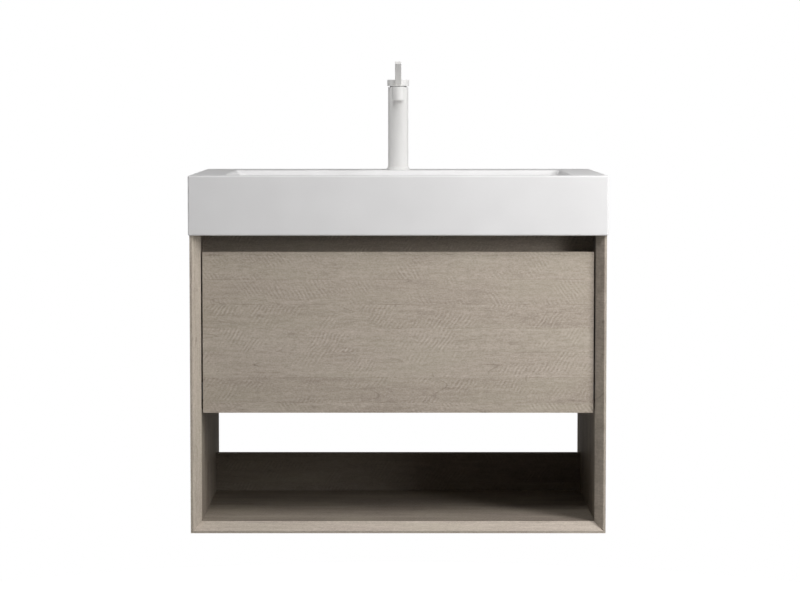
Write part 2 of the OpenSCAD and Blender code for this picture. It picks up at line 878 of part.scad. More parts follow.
// Outer walls at the front and the back, between the side walls
module basin_end_walls() {
    wall_x = basin_w / 2 - shell_t;
    color(ceramic) placed() intersection() {
        basin_block();
        for (y = [-basin_d, -shell_t])
            block([-wall_x, y, cabinet_h], [wall_x, y + shell_t, under_deck]);
    }
}

// ---------- waste ----------

module at_drain() {
    placed() translate([0, -drain_y, 0]) children();
}

// Flanged waste body with the cross that guides the plug
module waste_body() {
    thread_low = seat_z + top_seal_t - waste_thread_len;
    tail_low = seat_z - tail_len;
    color(chrome) at_drain() {
        difference() {
            union() {
                rod_z(waste_flange_r, seat_z + top_seal_t, seat_z + drain_recess, 0, 0);
                rod_z(waste_r, thread_low, seat_z + top_seal_t, 0, 0);
                rod_z(pipe_r, tail_low, thread_low, 0, 0);
            }
            rod_z(waste_r - 3, thread_low + 3, seat_z + drain_recess + past, 0, 0);
            rod_z(pipe_r - pipe_wall, tail_low - past, thread_low + 3 + past, 0, 0);
        }
        difference() {
            union() {
                for (a = [0, 90]) rotate([0, 0, a])
                    translate([-waste_r + 2, -1.5, cross_z]) cube([2 * waste_r - 4, 3, cross_h]);
                rod_z(stem_r + 3, cross_z, cross_z + cross_h, 0, 0);
            }
            rod_z(stem_r, cross_z - past, cross_z + cross_h + past, 0, 0);
        }
    }
}

// Domed plug that pops up on its stem
module waste_plug() {
    plug_z = seat_z + drain_recess + running;
    dome_r = (plug_r * plug_r + plug_t * plug_t) / (2 * plug_t);
    color(chrome) at_drain() {
        translate([0, 0, plug_z]) rotate_extrude() intersection() {
            translate([0, plug_rim + plug_t - dome_r]) circle(dome_r, $fn = 256);
            square([plug_r, plug_rim + plug_t]);
        }
        rod_z(stem_r - snug, cross_z - 12, plug_z + plug_rim, 0, 0);
        rod_z(stem_r + 2.5, cross_z - 15, cross_z - 12, 0, 0);
    }
}

module waste_nut() {
    nut_top = boss_z - bottom_seal_t;
    color(plastic) at_drain() difference() {
        translate([0, 0, nut_top - waste_nut_h]) cylinder(r = waste_flange_r, h = waste_nut_h, $fn = 8);
        rod_z(waste_r + snug, nut_top - waste_nut_h - past, nut_top + past, 0, 0);
    }
}

// ---------- trap ----------

// Pipe with a socket for the waste's tail, dipping into the cup
module trap_inlet_pipe() {
    socket_low = inlet_top - socket_len;
    dip_z = cup_floor + 24;
    color(plastic) at_drain() difference() {
        union() {
            rod_z(pipe_r + 2, socket_low, inlet_top, 0, 0);
            rod_z(pipe_r, dip_z, socket_low, 0, 0);
        }
        rod_z(pipe_r + snug, socket_low + socket_floor, inlet_top + past, 0, 0);
        rod_z(pipe_r - pipe_wall, dip_z - past, socket_low + socket_floor + past, 0, 0);
    }
}

// Head with its inlet collar above and its outlet stub to the wall
module trap_head() {
    color(plastic) at_drain() difference() {
        union() {
            rod_z(head_r, head_low, shoulder_z, 0, 0);
            translate([0, 0, shoulder_z]) cylinder(r1 = head_r, r2 = collar_r, h = shoulder_h);
            rod_z(collar_r, shoulder_z + shoulder_h, collar_top, 0, 0);
            rod_y(collar_r, 0, stub_y, 0, outlet_h);
            rod_z(head_r + 2.5, cup_top + 0.5, cup_top + 4, 0, 0);
        }
        rod_z(head_r - trap_wall, head_low - past, shoulder_z - 2, 0, 0);
        rod_z(pipe_r + snug, shoulder_z - 2 - past, collar_top + past, 0, 0);
        rod_y(pipe_r + snug, head_r - 8, stub_y + past, 0, outlet_h);
        rod_y(pipe_r - pipe_wall, 0, head_r, 0, outlet_h);
    }
}

// Screwed cup with a rounded foot and grip ribs
module trap_cup() {
    foot = 8;
    rib_low = 12;
    step = foot - trap_wall;
    color(plastic) at_drain() {
        rotate_extrude() difference() {
            union() {
                translate([0, cup_floor + foot]) square([cup_r, cup_top - cup_floor - foot]);
                translate([0, cup_floor]) square([cup_r - foot, foot]);
                translate([cup_r - foot, cup_floor + foot]) circle(foot);
            }
            translate([0, cup_floor + trap_wall]) square([cup_r - foot, step + past]);
            translate([0, cup_floor + foot]) square([head_r + snug, cup_top - cup_floor]);
        }
        for (a = [0:30:330]) rotate([0, 0, a])
            translate([cup_r - 0.5, -1.5, cup_floor + rib_low]) cube([2, 3, cup_top - cup_floor - rib_low - foot]);
    }
}

// Ring nut with flats, its axis along Z
module ring_nut() {
    difference() {
        cylinder(r = trap_nut_r, h = trap_nut_h, $fn = 12);
        translate([0, 0, -past]) cylinder(r = collar_r + snug, h = trap_nut_h - trap_nut_lid + past);
        translate([0, 0, -past]) cylinder(r = pipe_r + snug, h = trap_nut_h + 2 * past);
    }
}

module trap_nuts() {
    color(plastic) at_drain() {
        translate([0, 0, collar_top - nut_grip]) ring_nut();
        translate([0, stub_y - nut_grip, outlet_h]) rotate([-90, 0, 0]) ring_nut();
    }
}

// Rubber rings: two on the waste body, and one under each of the trap's nuts
module drain_seals() {
    color(rubber) at_drain() {
        tube(waste_flange_r - 1, waste_r + snug, seat_z, seat_z + top_seal_t);
        tube(waste_flange_r - 1, waste_r + snug, boss_z - bottom_seal_t, boss_z);
        tube(collar_r - 0.5, pipe_r + snug, collar_top, collar_top + trap_seal_t);
        translate([0, stub_y, outlet_h]) rotate([-90, 0, 0])
            tube(collar_r - 0.5, pipe_r + snug, 0, trap_seal_t);
    }
}

// Pipe from the head to the wall, with a bead that stops it in the wall's socket
module trap_outlet_pipe() {
    start = -drain_y + head_r - 7;
    color(plastic) placed() difference() {
        union() {
            rod_y(pipe_r, start, 0, 0, outlet_h);
            rod_y(pipe_r + 1.5, -spigot_free - bead_w, -spigot_free, 0, outlet_h);
        }
        rod_y(pipe_r - pipe_wall, start - past, past, 0, outlet_h);
    }
}

// ---------- tap ----------

module at_tap() {
    placed() translate([0, -tap_y, deck_z]) children();
}

spout_low = tap_h - spout_h;
nose_y = -spout_reach + spout_w / 2;
water_z = spout_low + aerator_h + water_r - 1;
bore_low = tap_h - bore_depth;

// Body with the cartridge bore and its waterways above, and a hollow foot below
module tap_body() {
    riser_y = -bore_r - riser_r - 0.8;
    color(white_paint) at_tap() difference() {
        rod_z(tap_r, gasket_t, tap_h, 0, 0);
        rod_z(bore_r, bore_low, tap_h + past, 0, 0);
        rod_z(bore_r - 3, bore_low - chamber_h, bore_low + past, 0, 0);
        block([-riser_r, riser_y, bore_low - chamber_h], [riser_r, 0, bore_low - 2]);
        rod_z(riser_r, bore_low - chamber_h, water_z, 0, riser_y);
        rod_y(spigot_r + snug, -tap_r - past, -tap_r + spigot_len, 0, water_z);
        rod_z(hall_r, gasket_t - past, hall_top, 0, 0);
        for (x = [-1, 1]) rod_z(feed_r, hall_top - past, bore_low, x * inlet_x, inlet_y);
        rod_z(stud_r, hall_top - past, hall_top + stud_in, 0, stud_y);
    }
}

// Brass inlets, threaded for the hoses below and brazed to the body above
module tap_inlets() {
    color(brass) at_tap() for (x = [-1, 1]) translate([x * inlet_x, inlet_y, 0])
        tube(inlet_out_r, inlet_r, gasket_t, hall_top);
}

// Flared ring round the body's lower end, hollowed by one arc
module tap_foot() {
    hollow_r = foot_h - 1.2;
    color(white_paint) at_tap() rotate_extrude() difference() {
        translate([tap_r + snug, 0]) square([foot_r - tap_r - snug, foot_h]);
        translate([tap_r + snug + 0.4 + hollow_r, foot_h]) circle(hollow_r);
    }
}

module tap_gasket() {
    color(rubber) at_tap() tube(tap_r - 0.1, tap_hole_r + 0.1, 0, gasket_t);
}

// Straight bar with a half-round nose, a spigot into the body and a hollow for the aerator
module tap_spout() {
    color(white_paint) at_tap() difference() {
        union() {
            difference() {
                translate([0, 0, spout_low]) linear_extrude(spout_h) {
                    translate([0, nose_y]) circle(spout_w / 2, $fn = 64);
                    translate([-spout_w / 2, nose_y]) square([spout_w, -nose_y]);
                }
                rod_z(tap_r + snug, spout_low - past, tap_h + past, 0, 0);
            }
            rod_y(spigot_r, -tap_r - 3, -tap_r + spigot_len, 0, water_z);
        }
        rod_z(aerator_r, spout_low - past, spout_low + aerator_h, 0, nose_y);
        rod_y(water_r, nose_y, -tap_r + spigot_len + past, 0, water_z);
    }
}

// Threaded insert with its perforated disc
module tap_aerator() {
    color(plastic) at_tap() translate([0, nose_y, spout_low]) difference() {
        rod_z(aerator_r - snug, 0.5, aerator_h - 1, 0, 0);
        rod_z(aerator_r - 2.5, -past, 3, 0, 0);
        rod_z(aerator_r - 2.5, 5, aerator_h, 0, 0);
        for (ring = [[2.6, 6], [6, 12]], i = [0:ring[1] - 1])
            rotate([0, 0, i * 360 / ring[1]]) rod_z(0.8, 2, 6, ring[0], 0);
    }
}

module tap_stud() {
    color(steel) at_tap()
        rod_z(stud_r - snug, hall_top + stud_in - stud_len, hall_top + stud_in, 0, stud_y);
}

// Horseshoe plate under the deck, open towards the hoses
module tap_clamp_plate() {
    color(zinc) at_tap() translate([0, 0, -deck_t - 3]) difference() {
        cylinder(r = 24, h = 3);
        translate([0, inlet_y, -past]) cylinder(r = 13.5, h = 3 + 2 * past);
        translate([-13.5, -24 - past, -past]) cube([27, 24 + past + inlet_y, 3 + 2 * past]);
        translate([0, stud_y, -past]) cylinder(r = stud_r, h = 3 + 2 * past);
    }
}

module tap_stud_nut() {
    color(brass) at_tap() translate([0, stud_y, -deck_t - 8]) difference() {
        cylinder(r = 5.8, h = 5, $fn = 6);
        translate([0, 0, -past]) cylinder(r = stud_r, h = 5 + 2 * past);
    }
}

// ---------- mixer ----------

cartridge_top = tap_h - 12;
carrier_low = cartridge_top - 16;

// Cartridge housing that the carrier turns in
module cartridge() {
    color(plastic) at_tap() difference() {
        rod_z(bore_r - snug, bore_low, cartridge_top, 0, 0);
        rod_z(carrier_r, carrier_low - 1, cartridge_top + past, 0, 0);
        for (x = [-1, 1]) rod_z(feed_r, bore_low - past, carrier_low - 3, x * inlet_x, inlet_y);
    }
}

// Flanged ring that holds the cartridge down and shows as the dark neck under the cap
module cartridge_nut() {
    color(zinc) at_tap() difference() {
        union() {
            rod_z(bore_r - snug, cartridge_top, tap_h, 0, 0);
            rod_z(neck_r, tap_h, tap_h + neck_h, 0, 0);
        }
        rod_z(carrier_r + 1.5, cartridge_top - past, tap_h + neck_h + past, 0, 0);
    }
}

// Turning carrier, slotted for the spindle, with the spindle's pivot pin
module mixer_carrier() {
    color(brass) at_tap() {
        difference() {
            rod_z(carrier_r - snug, carrier_low, pivot_z + 4, 0, 0);
            block([-spindle_w / 2 - running, -9, carrier_low + 2],
                  [spindle_w / 2 + running, 9, pivot_z + 4 + past]);
        }
        rod_x(1.5, -spindle_w / 2 - 2, spindle_w / 2 + 2, 0, pivot_z);
    }
}

// Square spindle that tilts on the pivot pin and carries the cap
module mixer_spindle() {
    color(steel) at_tap() difference() {
        block([-spindle_w / 2, -spindle_w / 2, pivot_z - 10],
              [spindle_w / 2, spindle_w / 2, cap_z + cap_hollow + 2]);
        rod_x(1.5 + snug, -spindle_w, spindle_w, 0, pivot_z);
    }
}

grub_z = cap_z + 5;

// Screw that pins the cap to the spindle, turned through a hole in the skirt
module grub_screw() {
    color(steel) at_tap() difference() {
        rod_y(grub_r - snug, spindle_w / 2, handle_boss_r, 0, grub_z);
        translate([0, handle_boss_r + past, grub_z]) rotate([90, 0, 0])
            cylinder(r = 1, h = 1.5 + past, $fn = 6);
    }
}

// Lever's side view: a bar that leaves the cap's front edge
module lever_profile() {
    root = [-cap_r, cap_z + 1.2];
    along = [-sin(lever_lean), cos(lever_lean)];
    across = [cos(lever_lean), sin(lever_lean)];
    polygon([root, root + lever_len * along, root + lever_len * along + lever_t * across,
             root + lever_t * across]);
}

// Cup-shaped cap whose skirt is wider than the body, so that it can tilt
module handle_cap() {
    color(white_paint) at_tap() difference() {
        union() {
            difference() {
                rod_z(cap_r, cap_z, cap_z + cap_h, 0, 0);
                rod_z(cap_r - skirt_t, cap_z - past, cap_z + cap_hollow, 0, 0);
            }
            rod_z(handle_boss_r, cap_z + 2.5, cap_z + cap_hollow + past, 0, 0);
        }
        block([-spindle_w / 2, -spindle_w / 2, cap_z], [spindle_w / 2, spindle_w / 2, cap_z + cap_hollow + 2]);
        along_x(-lever_w / 2, lever_w / 2) lever_profile();
        rod_y(grub_r, 0, cap_r + past, 0, grub_z);
    }
}

module lever() {
    color(white_paint) at_tap() along_x(-lever_w / 2, lever_w / 2) lever_profile();
}

// ---------- nodes ----------

side_panel(-1);  // side_panel_left
side_panel(1);  // side_panel_right
bottom_panel();
divider_panel();
finger_rail();
hanging_rail();
low_back_rail();
dowels();
cam_locks();
cam_bolts();
hangers();
hanger_hooks();
hanger_screws();
wall_plates();
cabinet_rails();
middle_rail(-1);  // middle_rail_left
middle_rail(1);  // middle_rail_right
drawer_rail(-1);  // drawer_rail_left
drawer_rail(1);  // drawer_rail_right
rail_screws();
locking_clips();
drawer_front();
drawer_inner_front();
drawer_side(-1);  // drawer_side_left
drawer_side(1);  // drawer_side_right
drawer_bottom();
drawer_backs();
recess_side_walls();
recess_wall_front();
drawer_screws();
basin_bowl();
basin_deck();
basin_ledge();
basin_side_walls();
basin_end_walls();
waste_body();
waste_plug();
waste_nut();
drain_seals();
trap_inlet_pipe();
trap_head();
trap_cup();
trap_nuts();
trap_outlet_pipe();
tap_body();
tap_inlets();
tap_foot();
tap_gasket();
tap_spout();
tap_aerator();
tap_stud();
tap_clamp_plate();
tap_stud_nut();
cartridge();
cartridge_nut();
mixer_carrier();
mixer_spindle();
handle_cap();
lever();
grub_screw();
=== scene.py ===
"""Floating vanity: the dressed model of the wall-hung cabinet, its basin, waste and tap."""
import functools
import logging
from dataclasses import dataclass
from enum import Enum
from math import asin, atan2, cos, hypot, pi, radians, sin, sqrt, tan
from typing import NamedTuple, Sequence

import bmesh
import bpy
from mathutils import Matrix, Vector


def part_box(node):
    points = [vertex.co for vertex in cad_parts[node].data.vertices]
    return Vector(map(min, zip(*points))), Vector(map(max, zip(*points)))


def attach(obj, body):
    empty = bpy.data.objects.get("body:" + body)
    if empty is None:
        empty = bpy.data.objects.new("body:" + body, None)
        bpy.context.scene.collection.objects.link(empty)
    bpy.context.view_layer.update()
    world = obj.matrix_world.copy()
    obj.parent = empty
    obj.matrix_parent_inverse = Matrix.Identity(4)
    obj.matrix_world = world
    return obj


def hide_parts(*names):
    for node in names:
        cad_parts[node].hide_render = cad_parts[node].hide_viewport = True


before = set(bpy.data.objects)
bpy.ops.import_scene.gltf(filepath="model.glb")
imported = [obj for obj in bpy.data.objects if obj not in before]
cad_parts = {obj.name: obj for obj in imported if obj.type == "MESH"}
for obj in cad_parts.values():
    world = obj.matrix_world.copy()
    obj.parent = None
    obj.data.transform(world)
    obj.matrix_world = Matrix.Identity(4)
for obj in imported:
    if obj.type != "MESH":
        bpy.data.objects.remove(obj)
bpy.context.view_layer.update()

LOG = logging.getLogger("vanity")
MM = 0.001

# Points closer than this are merged, in the scene's own meshes and in copies of CAD nodes
MERGE = 0.002 * MM
CAD_MERGE = 0.001 * MM
# Turns in degrees: within a flat face, at an edge that is rounded, at an edge that stays sharp
FLAT_TURN = 0.5
ARRIS_TURN = 35.0
SHARP_TURN = 50.0
# Cosine of some 11 degrees, within which a side looks a certain way
SAME_WAY = 0.98

Pair = tuple[float, float]
Point = tuple[float, float, float]
Ring = list[Point]
Piece = bpy.types.Object
Node = bpy.types.Node
Tree = bpy.types.NodeTree
Socket = bpy.types.NodeSocket


# ---------- small helpers ----------

def linear(code: str) -> tuple[float, float, float, float]:
    """Turns an sRGB hex value into a linear colour.

    Args:
        code: colour as "#rrggbb".

    Returns:
        Red, green, blue and alpha as the shaders take them.
    """
    parts = [int(code[i:i + 2], 16) / 255 for i in (1, 3, 5)]
    red, green, blue = (c / 12.92 if c <= 0.04045 else ((c + 0.055) / 1.055) ** 2.4 for c in parts)
    return red, green, blue, 1.0


def add(tree: Tree, kind: str, inputs: dict | None = None, **settings: object) -> Node:
    """Adds a node with its settings and links.

    Args:
        tree: tree that takes the node.
        kind: type name of the node.
        inputs: socket name or index, to a value or to the socket that feeds it.
        settings: attributes of the node.

    Returns:
        The new node.
    """
    made = tree.nodes.new(kind)
    for name, value in settings.items():
        setattr(made, name, value)
    for key, value in (inputs or {}).items():
        if isinstance(value, Socket):
            tree.links.new(value, made.inputs[key])
        else:
            made.inputs[key].default_value = value
    return made


def chain(tree: Tree, first: float | Socket, *steps: tuple[str, float | Socket | None]) -> Socket:
    """Runs a number through a row of sums, each of which works on what the one before it gives.

    Args:
        tree: tree that takes the nodes.
        first: number or socket at the start.
        steps: operation and second operand of each sum, None where it has no second.

    Returns:
        The socket with the result.
    """
    value = first
    for operation, operand in steps:
        inputs = {0: value} if operand is None else {0: value, 1: operand}
        value = add(tree, "ShaderNodeMath", inputs, operation=operation).outputs[0]
    return value


class Extent(NamedTuple):
    """Box of a CAD node at rest and its middle, in mm to the nearest micron."""
    low: Point
    high: Point
    middle: Point


def extent(node: str) -> Extent:
    """Reads the box of a CAD node from the frame."""
    low, high = (tuple(round(c / MM, 3) for c in corner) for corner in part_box(node))
    return Extent(low, high, tuple((a + b) / 2 for a, b in zip(low, high)))


# ---------- meshes ----------

def new_object(name: str, data: bpy.types.ID) -> Piece:
    """Puts a mesh, a lamp or a camera into the scene as an object at the origin.

    Args:
        name: name of the object.
        data: its mesh, lamp or camera.

    Returns:
        The new object.
    """
    made = bpy.data.objects.new(name, data)
    bpy.context.scene.collection.objects.link(made)
    return made


def closed(name: str, fill: bmesh.types.BMesh) -> Piece:
    """Turns a bmesh into an object.

    Args:
        name: name of the object.
        fill: its mesh, freed here.

    Returns:
        The new object.
    """
    mesh = bpy.data.meshes.new(name)
    fill.to_mesh(mesh)
    fill.free()
    return new_object(name, mesh)


def apply_modifiers(piece: Piece) -> Piece:
    """Turns what the modifiers make of a piece into its plain mesh.

    Args:
        piece: object with live modifiers.

    Returns:
        The same object, with no modifiers left.
    """
    graph = bpy.context.evaluated_depsgraph_get()
    result = bpy.data.meshes.new_from_object(piece.evaluated_get(graph), preserve_all_data_layers=True,
                                             depsgraph=graph)
    piece.modifiers.clear()
    piece.data = result
    return piece


def settle(piece: Piece, arris: float = 0.0, steps: int = 2) -> Piece:
    """Rounds the sharp edges of a piece and shades it smoothly between them.

    Args:
        piece: object with one closed mesh.
        arris: width of the rounding in mm, 0 for none.
        steps: facets across the rounding.

    Returns:
        The same object.
    """
    if arris > 0:
        bevel = piece.modifiers.new("arris", "BEVEL")
        bevel.width = arris * MM
        bevel.segments = steps
        bevel.limit_method = "ANGLE"
        bevel.angle_limit = radians(ARRIS_TURN)
        bevel.use_clamp_overlap = True
        bevel.miter_outer = "MITER_ARC"
        apply_modifiers(piece)
    mesh = piece.data
    mesh.polygons.foreach_set("use_smooth", [True] * len(mesh.polygons))
    mesh.set_sharp_from_angle(angle=radians(SHARP_TURN))
    weighted = piece.modifiers.new("flat faces stay flat", "WEIGHTED_NORMAL")
    weighted.keep_sharp = True
    weighted.weight = 100
    return apply_modifiers(piece)


def loft(name: str, rings: Sequence[Ring]) -> Piece:
    """Joins rings of equal count into one closed skin, the last ring to the first.

    Args:
        name: name of the object.
        rings: rings of points in mm, in order over the section.

    Returns:
        The new object, with its doubles merged and its faces outwards.
    """
    fill = bmesh.new()
    rows = [[fill.verts.new([c * MM for c in point]) for point in ring] for ring in rings]
    for row, following in zip(rows, rows[1:] + rows[:1]):
        for i in range(len(row)):
            j = (i + 1) % len(row)
            fill.faces.new((row[i], row[j], following[j], following[i]))
    bmesh.ops.remove_doubles(fill, verts=fill.verts, dist=MERGE)
    bmesh.ops.dissolve_degenerate(fill, edges=fill.edges, dist=MERGE)
    bmesh.ops.recalc_face_normals(fill, faces=fill.faces)
    return closed(name, fill)


def lathe(name: str, section: Sequence[Pair], centre: Pair, steps: int = 96) -> Piece:
    """Turns a closed section about an upright axis.

    Args:
        name: name of the object.
        section: radius and height of each point in mm, in order round the section.
        centre: x and y of the axis in mm.
        steps: facets round the axis.

    Returns:
        The new object.
    """
    turns = [2 * pi * i / steps for i in range(steps)]
    return loft(name, [[(centre[0] + r * cos(a), centre[1] + r * sin(a), z) for a in turns]
                       for r, z in section])


def cad_copy(node: str) -> Piece:
    """Copies a CAD node into a welded mesh whose flat faces are whole again.

    Args:
        node: name of the CAD node.

    Returns:
        The new object, named as the node with a capital letter.
    """
    fill = bmesh.new()
    fill.from_mesh(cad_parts[node].data)
    bmesh.ops.remove_doubles(fill, verts=fill.verts, dist=CAD_MERGE)
    bmesh.ops.dissolve_limit(fill, angle_limit=radians(FLAT_TURN), verts=fill.verts, edges=fill.edges)
    return closed(node.capitalize(), fill)


# ---------- finishes ----------

class Grain(Enum):
    """Axis that the wood's grain runs along."""
    ACROSS = "X"
    BACK = "Y"
    UP = "Z"


class Fade(Enum):
    """How a mark comes in between two levels of its noise."""
    EVEN = "LINEAR"
    SOFT = "SMOOTHSTEP"


def blank_material(name: str) -> tuple[bpy.types.Material, Tree]:
    """Makes a material with an empty tree.

    Args:
        name: name of the material.

    Returns:
        The material and its tree.
    """
    made = bpy.data.materials.new(name)
    made.use_nodes = True
    made.node_tree.nodes.clear()
    return made, made.node_tree


@dataclass(frozen=True)
class Finish:
    """A surface whose colour, gloss and relief follow one fine grain.

    The grain's size is given along x, y and z in mm, so that brushing and turning can be drawn out.
    """
    name: str
    dark: str
    light: str
    roughness: Pair
    grain_mm: Point
    relief_mm: float
    metallic: float = 0.0
    specular: float = 0.5
    detail: float = 2.0
    noise_roughness: float = 0.55
    noise_span: Pair = (0.3, 0.7)

    @functools.cache
    def material(self) -> bpy.types.Material:
        """Builds the material once.

        Returns:
            The material.
        """
        made, tree = blank_material(self.name)
        place_at = add(tree, "ShaderNodeTexCoord").outputs["Object"]
        # Object coordinates are metres, so 1000 / grain gives one grain of the noise per grain in mm
        scaled = add(tree, "ShaderNodeMapping",
                     {"Vector": place_at, "Scale": [1000 / size for size in self.grain_mm]})
        grain = add(tree, "ShaderNodeTexNoise",
                    {"Vector": scaled.outputs[0], "Scale": 1.0, "Detail": self.detail,
                     "Roughness": self.noise_roughness}).outputs["Fac"]
        low, high = self.noise_span
        shade = add(tree, "ShaderNodeValToRGB", {"Fac": grain})
        for stop, position, colour in zip(shade.color_ramp.elements, (low, high), (self.dark, self.light)):
            stop.position = position
            stop.color = linear(colour)
        gloss = add(tree, "ShaderNodeMapRange",
                    {"Value": grain, "From Min": low, "From Max": high,
                     "To Min": self.roughness[0], "To Max": self.roughness[1]})
        relief = add(tree, "ShaderNodeBump",
                     {"Height": grain, "Strength": 1.0, "Distance": self.relief_mm * MM})
        shader = add(tree, "ShaderNodeBsdfPrincipled",
                     {"Base Color": shade.outputs[0], "Roughness": gloss.outputs[0],
                      "Normal": relief.outputs[0], "Metallic": self.metallic,
                      "Specular IOR Level": self.specular})
        add(tree, "ShaderNodeOutputMaterial", {"Surface": shader.outputs[0]})
        return made


@dataclass(frozen=True)
class Streaks:
    """A noise drawn out along the grain: its length and width in mm, its detail and its strength.

    Where it places a mark, the mark fades in between two levels of the noise.
    """
    long_mm: float
    thin_mm: float
    detail: float
    lift: float = 1.0
    levels: Pair = (0.0, 1.0)
    fade: Fade = Fade.EVEN


class OakDecor:
    """Nodes of the printed decor, whose marks are numbers about zero that lighten or darken it."""
    PLANK_MM = 47.5
    # The planks' width wanders by a few mm from one to the next: by what share of it, and how fast
    WANDER = 0.5
    WANDER_PACE = 11.0
    # The count of the planks starts here, which places the seams
    FIRST_PLANK = 40.37
    # Each plank cuts the noises at another depth, this far from its neighbour's
    PLANK_STEP = 3.7
    PLANK_TONE = 0.16
    ROUGHNESS = 0.6
    CONTRAST = 0.62
    # Fine and broad streaks, pores (0.3 mm wide on oak, drawn at 0.7 mm so that they show from near
    # by), flecks some 2 mm across and nearly as wide as they are long, and mottling 5 mm across
    STREAKS = (Streaks(20, 1.6, 3.0, 0.75), Streaks(85, 8, 2.0, 0.60), Streaks(5, 0.7, 1.0, 0.55),
               Streaks(3.0, 2.4, 1.0, 0.85), Streaks(11, 5, 1.0, 0.55))
    PATCHES = Streaks(190, 60, 1.0)
    PATCH_TONE = 0.35
    # Saw marks 7 mm apart. Cosine and sine of 33 degrees make them cross the grain at 57.
    SAW_MM = 7.0
    SAW_ALONG = 0.839
    SAW_ACROSS = 0.545
    SAW_POWER = 3.0
    SAW_SWAY = Streaks(45, 24, 1.0, 0.009)
    SAW_AREA = Streaks(70, 38, 1.0, levels=(-0.06, 0.16), fade=Fade.SOFT)
    SAW_WEAR = Streaks(14, 16, 2.0, levels=(-0.18, 0.14))
    # A seam is the outer 2.2 % of a plank on each side, about 2 mm in all, and broken along its length
    SEAM_FROM = 0.478
    SEAM_RISE = 45.0
    SEAM_TONE = -0.62
    SEAM_AREA = Streaks(60, 400, 2.0, levels=(-0.02, 0.12))
    # Year rings: how many contour lines the whole range of the noise has, and how thin and dark they are
    RINGS = Streaks(260, 40, 0.0)
    RING_COUNT = 9.0
    RING_FROM = 0.45
    RING_TONE = -9.0
    RING_AREA = Streaks(110, 40, 1.0, levels=(0.04, 0.14))

    def __init__(self, tree: Tree, grain: Grain) -> None:
        """Lays out the planks.

        Args:
            tree: tree that takes the nodes.
            grain: direction of the grain.
        """
        self.add, self.chain = functools.partial(add, tree), functools.partial(chain, tree)
        axes = self.add("ShaderNodeSeparateXYZ", {0: self.add("ShaderNodeTexCoord").outputs["Object"]})
        self.along = axes.outputs[grain.value]
        # Across the grain, the sum of the other two axes runs on over every face and bevel
        first, second = (axes.outputs[name] for name in "XYZ" if name != grain.value)
        self.across = self.chain(first, ("ADD", second))
        wander = self.add("ShaderNodeTexNoise",
                          {"W": self.across, "Scale": self.WANDER_PACE, "Detail": 0.0},
                          noise_dimensions="1D").outputs["Fac"]
        course = self.chain(self.across, ("MULTIPLY", 1000 / self.PLANK_MM), ("ADD", self.FIRST_PLANK),
                            ("ADD", self.chain(wander, ("MULTIPLY", self.WANDER))))
        self.plank = self.chain(course, ("FLOOR", None))
        self.within = self.chain(course, ("FRACT", None))
        luck = self.add("ShaderNodeTexWhiteNoise", {"W": self.plank}, noise_dimensions="1D")
        self.lots = self.add("ShaderNodeSeparateColor", {0: luck.outputs["Color"]}).outputs

    def streaks(self, noise: Streaks) -> Socket:
        """Draws a noise out along the grain.

        Args:
            noise: its sizes.

        Returns:
            The socket with the noise, about zero in the middle.
        """
        point = self.add("ShaderNodeCombineXYZ",
                         {0: self.chain(self.along, ("MULTIPLY", 1000 / noise.long_mm)),
                          1: self.chain(self.across, ("MULTIPLY", 1000 / noise.thin_mm)),
                          2: self.chain(self.plank, ("MULTIPLY", self.PLANK_STEP))})
        drawn = self.add("ShaderNodeTexNoise",
                         {"Vector": point.outputs[0], "Scale": 1.0, "Detail": noise.detail,
                          "Roughness": self.ROUGHNESS})
        return self.chain(drawn.outputs["Fac"], ("SUBTRACT", 0.5), ("MULTIPLY", noise.lift))

    def shown(self, noise: Streaks) -> Socket:
        """Finds where a mark shows.

        Args:
            noise: noise that places the mark.

        Returns:
            The socket with 0 where the mark is absent and 1 where it is full.
        """
        low, high = noise.levels
        return self.add("ShaderNodeMapRange",
                        {"Value": self.streaks(noise), "From Min": low, "From Max": high},
                        interpolation_type=noise.fade.value).outputs[0]

    def saw_marks(self, depth: float) -> Socket:
        """Draws slanting saw marks, which lean the other way on about half of the planks.

        Args:
            depth: strength of the marks.

        Returns:
            The socket with the marks.
        """
        lean = self.chain(self.lots[0], ("GREATER_THAN", 0.5), ("MULTIPLY", 2.0), ("SUBTRACT", 1.0))
        slant = self.chain(self.across, ("MULTIPLY", self.SAW_ACROSS), ("MULTIPLY", lean))
        # The cube of a sine makes a thin light line beside a thin dark one
        return self.chain(self.along, ("MULTIPLY", self.SAW_ALONG), ("ADD", slant),
                          ("ADD", self.streaks(self.SAW_SWAY)), ("MULTIPLY", 2 * pi * 1000 / self.SAW_MM),
                          ("SINE", None), ("POWER", self.SAW_POWER),
                          ("MULTIPLY", self.shown(self.SAW_AREA)),
                          ("MULTIPLY", self.shown(self.SAW_WEAR)), ("MULTIPLY", depth))

    def seams(self) -> Socket:
        """Draws the dark seams between the planks.

        Returns:
            The socket with the seams.
        """
        return self.chain(self.within, ("SUBTRACT", 0.5), ("ABSOLUTE", None), ("SUBTRACT", self.SEAM_FROM),
                          ("MULTIPLY", self.SEAM_RISE), ("MAXIMUM", 0.0),
                          ("MULTIPLY", self.shown(self.SEAM_AREA)), ("MULTIPLY", self.SEAM_TONE))

    def arcs(self) -> Socket:
        """Draws year rings that surface in flat arcs: contour lines of a slow noise.

        Returns:
            The socket with the arcs.
        """
        return self.chain(self.streaks(self.RINGS), ("MULTIPLY", self.RING_COUNT), ("FRACT", None),
                          ("SUBTRACT", 0.5), ("ABSOLUTE", None), ("SUBTRACT", self.RING_FROM),
                          ("MAXIMUM", 0.0), ("MULTIPLY", self.RING_TONE),
                          ("MULTIPLY", self.shown(self.RING_AREA)))

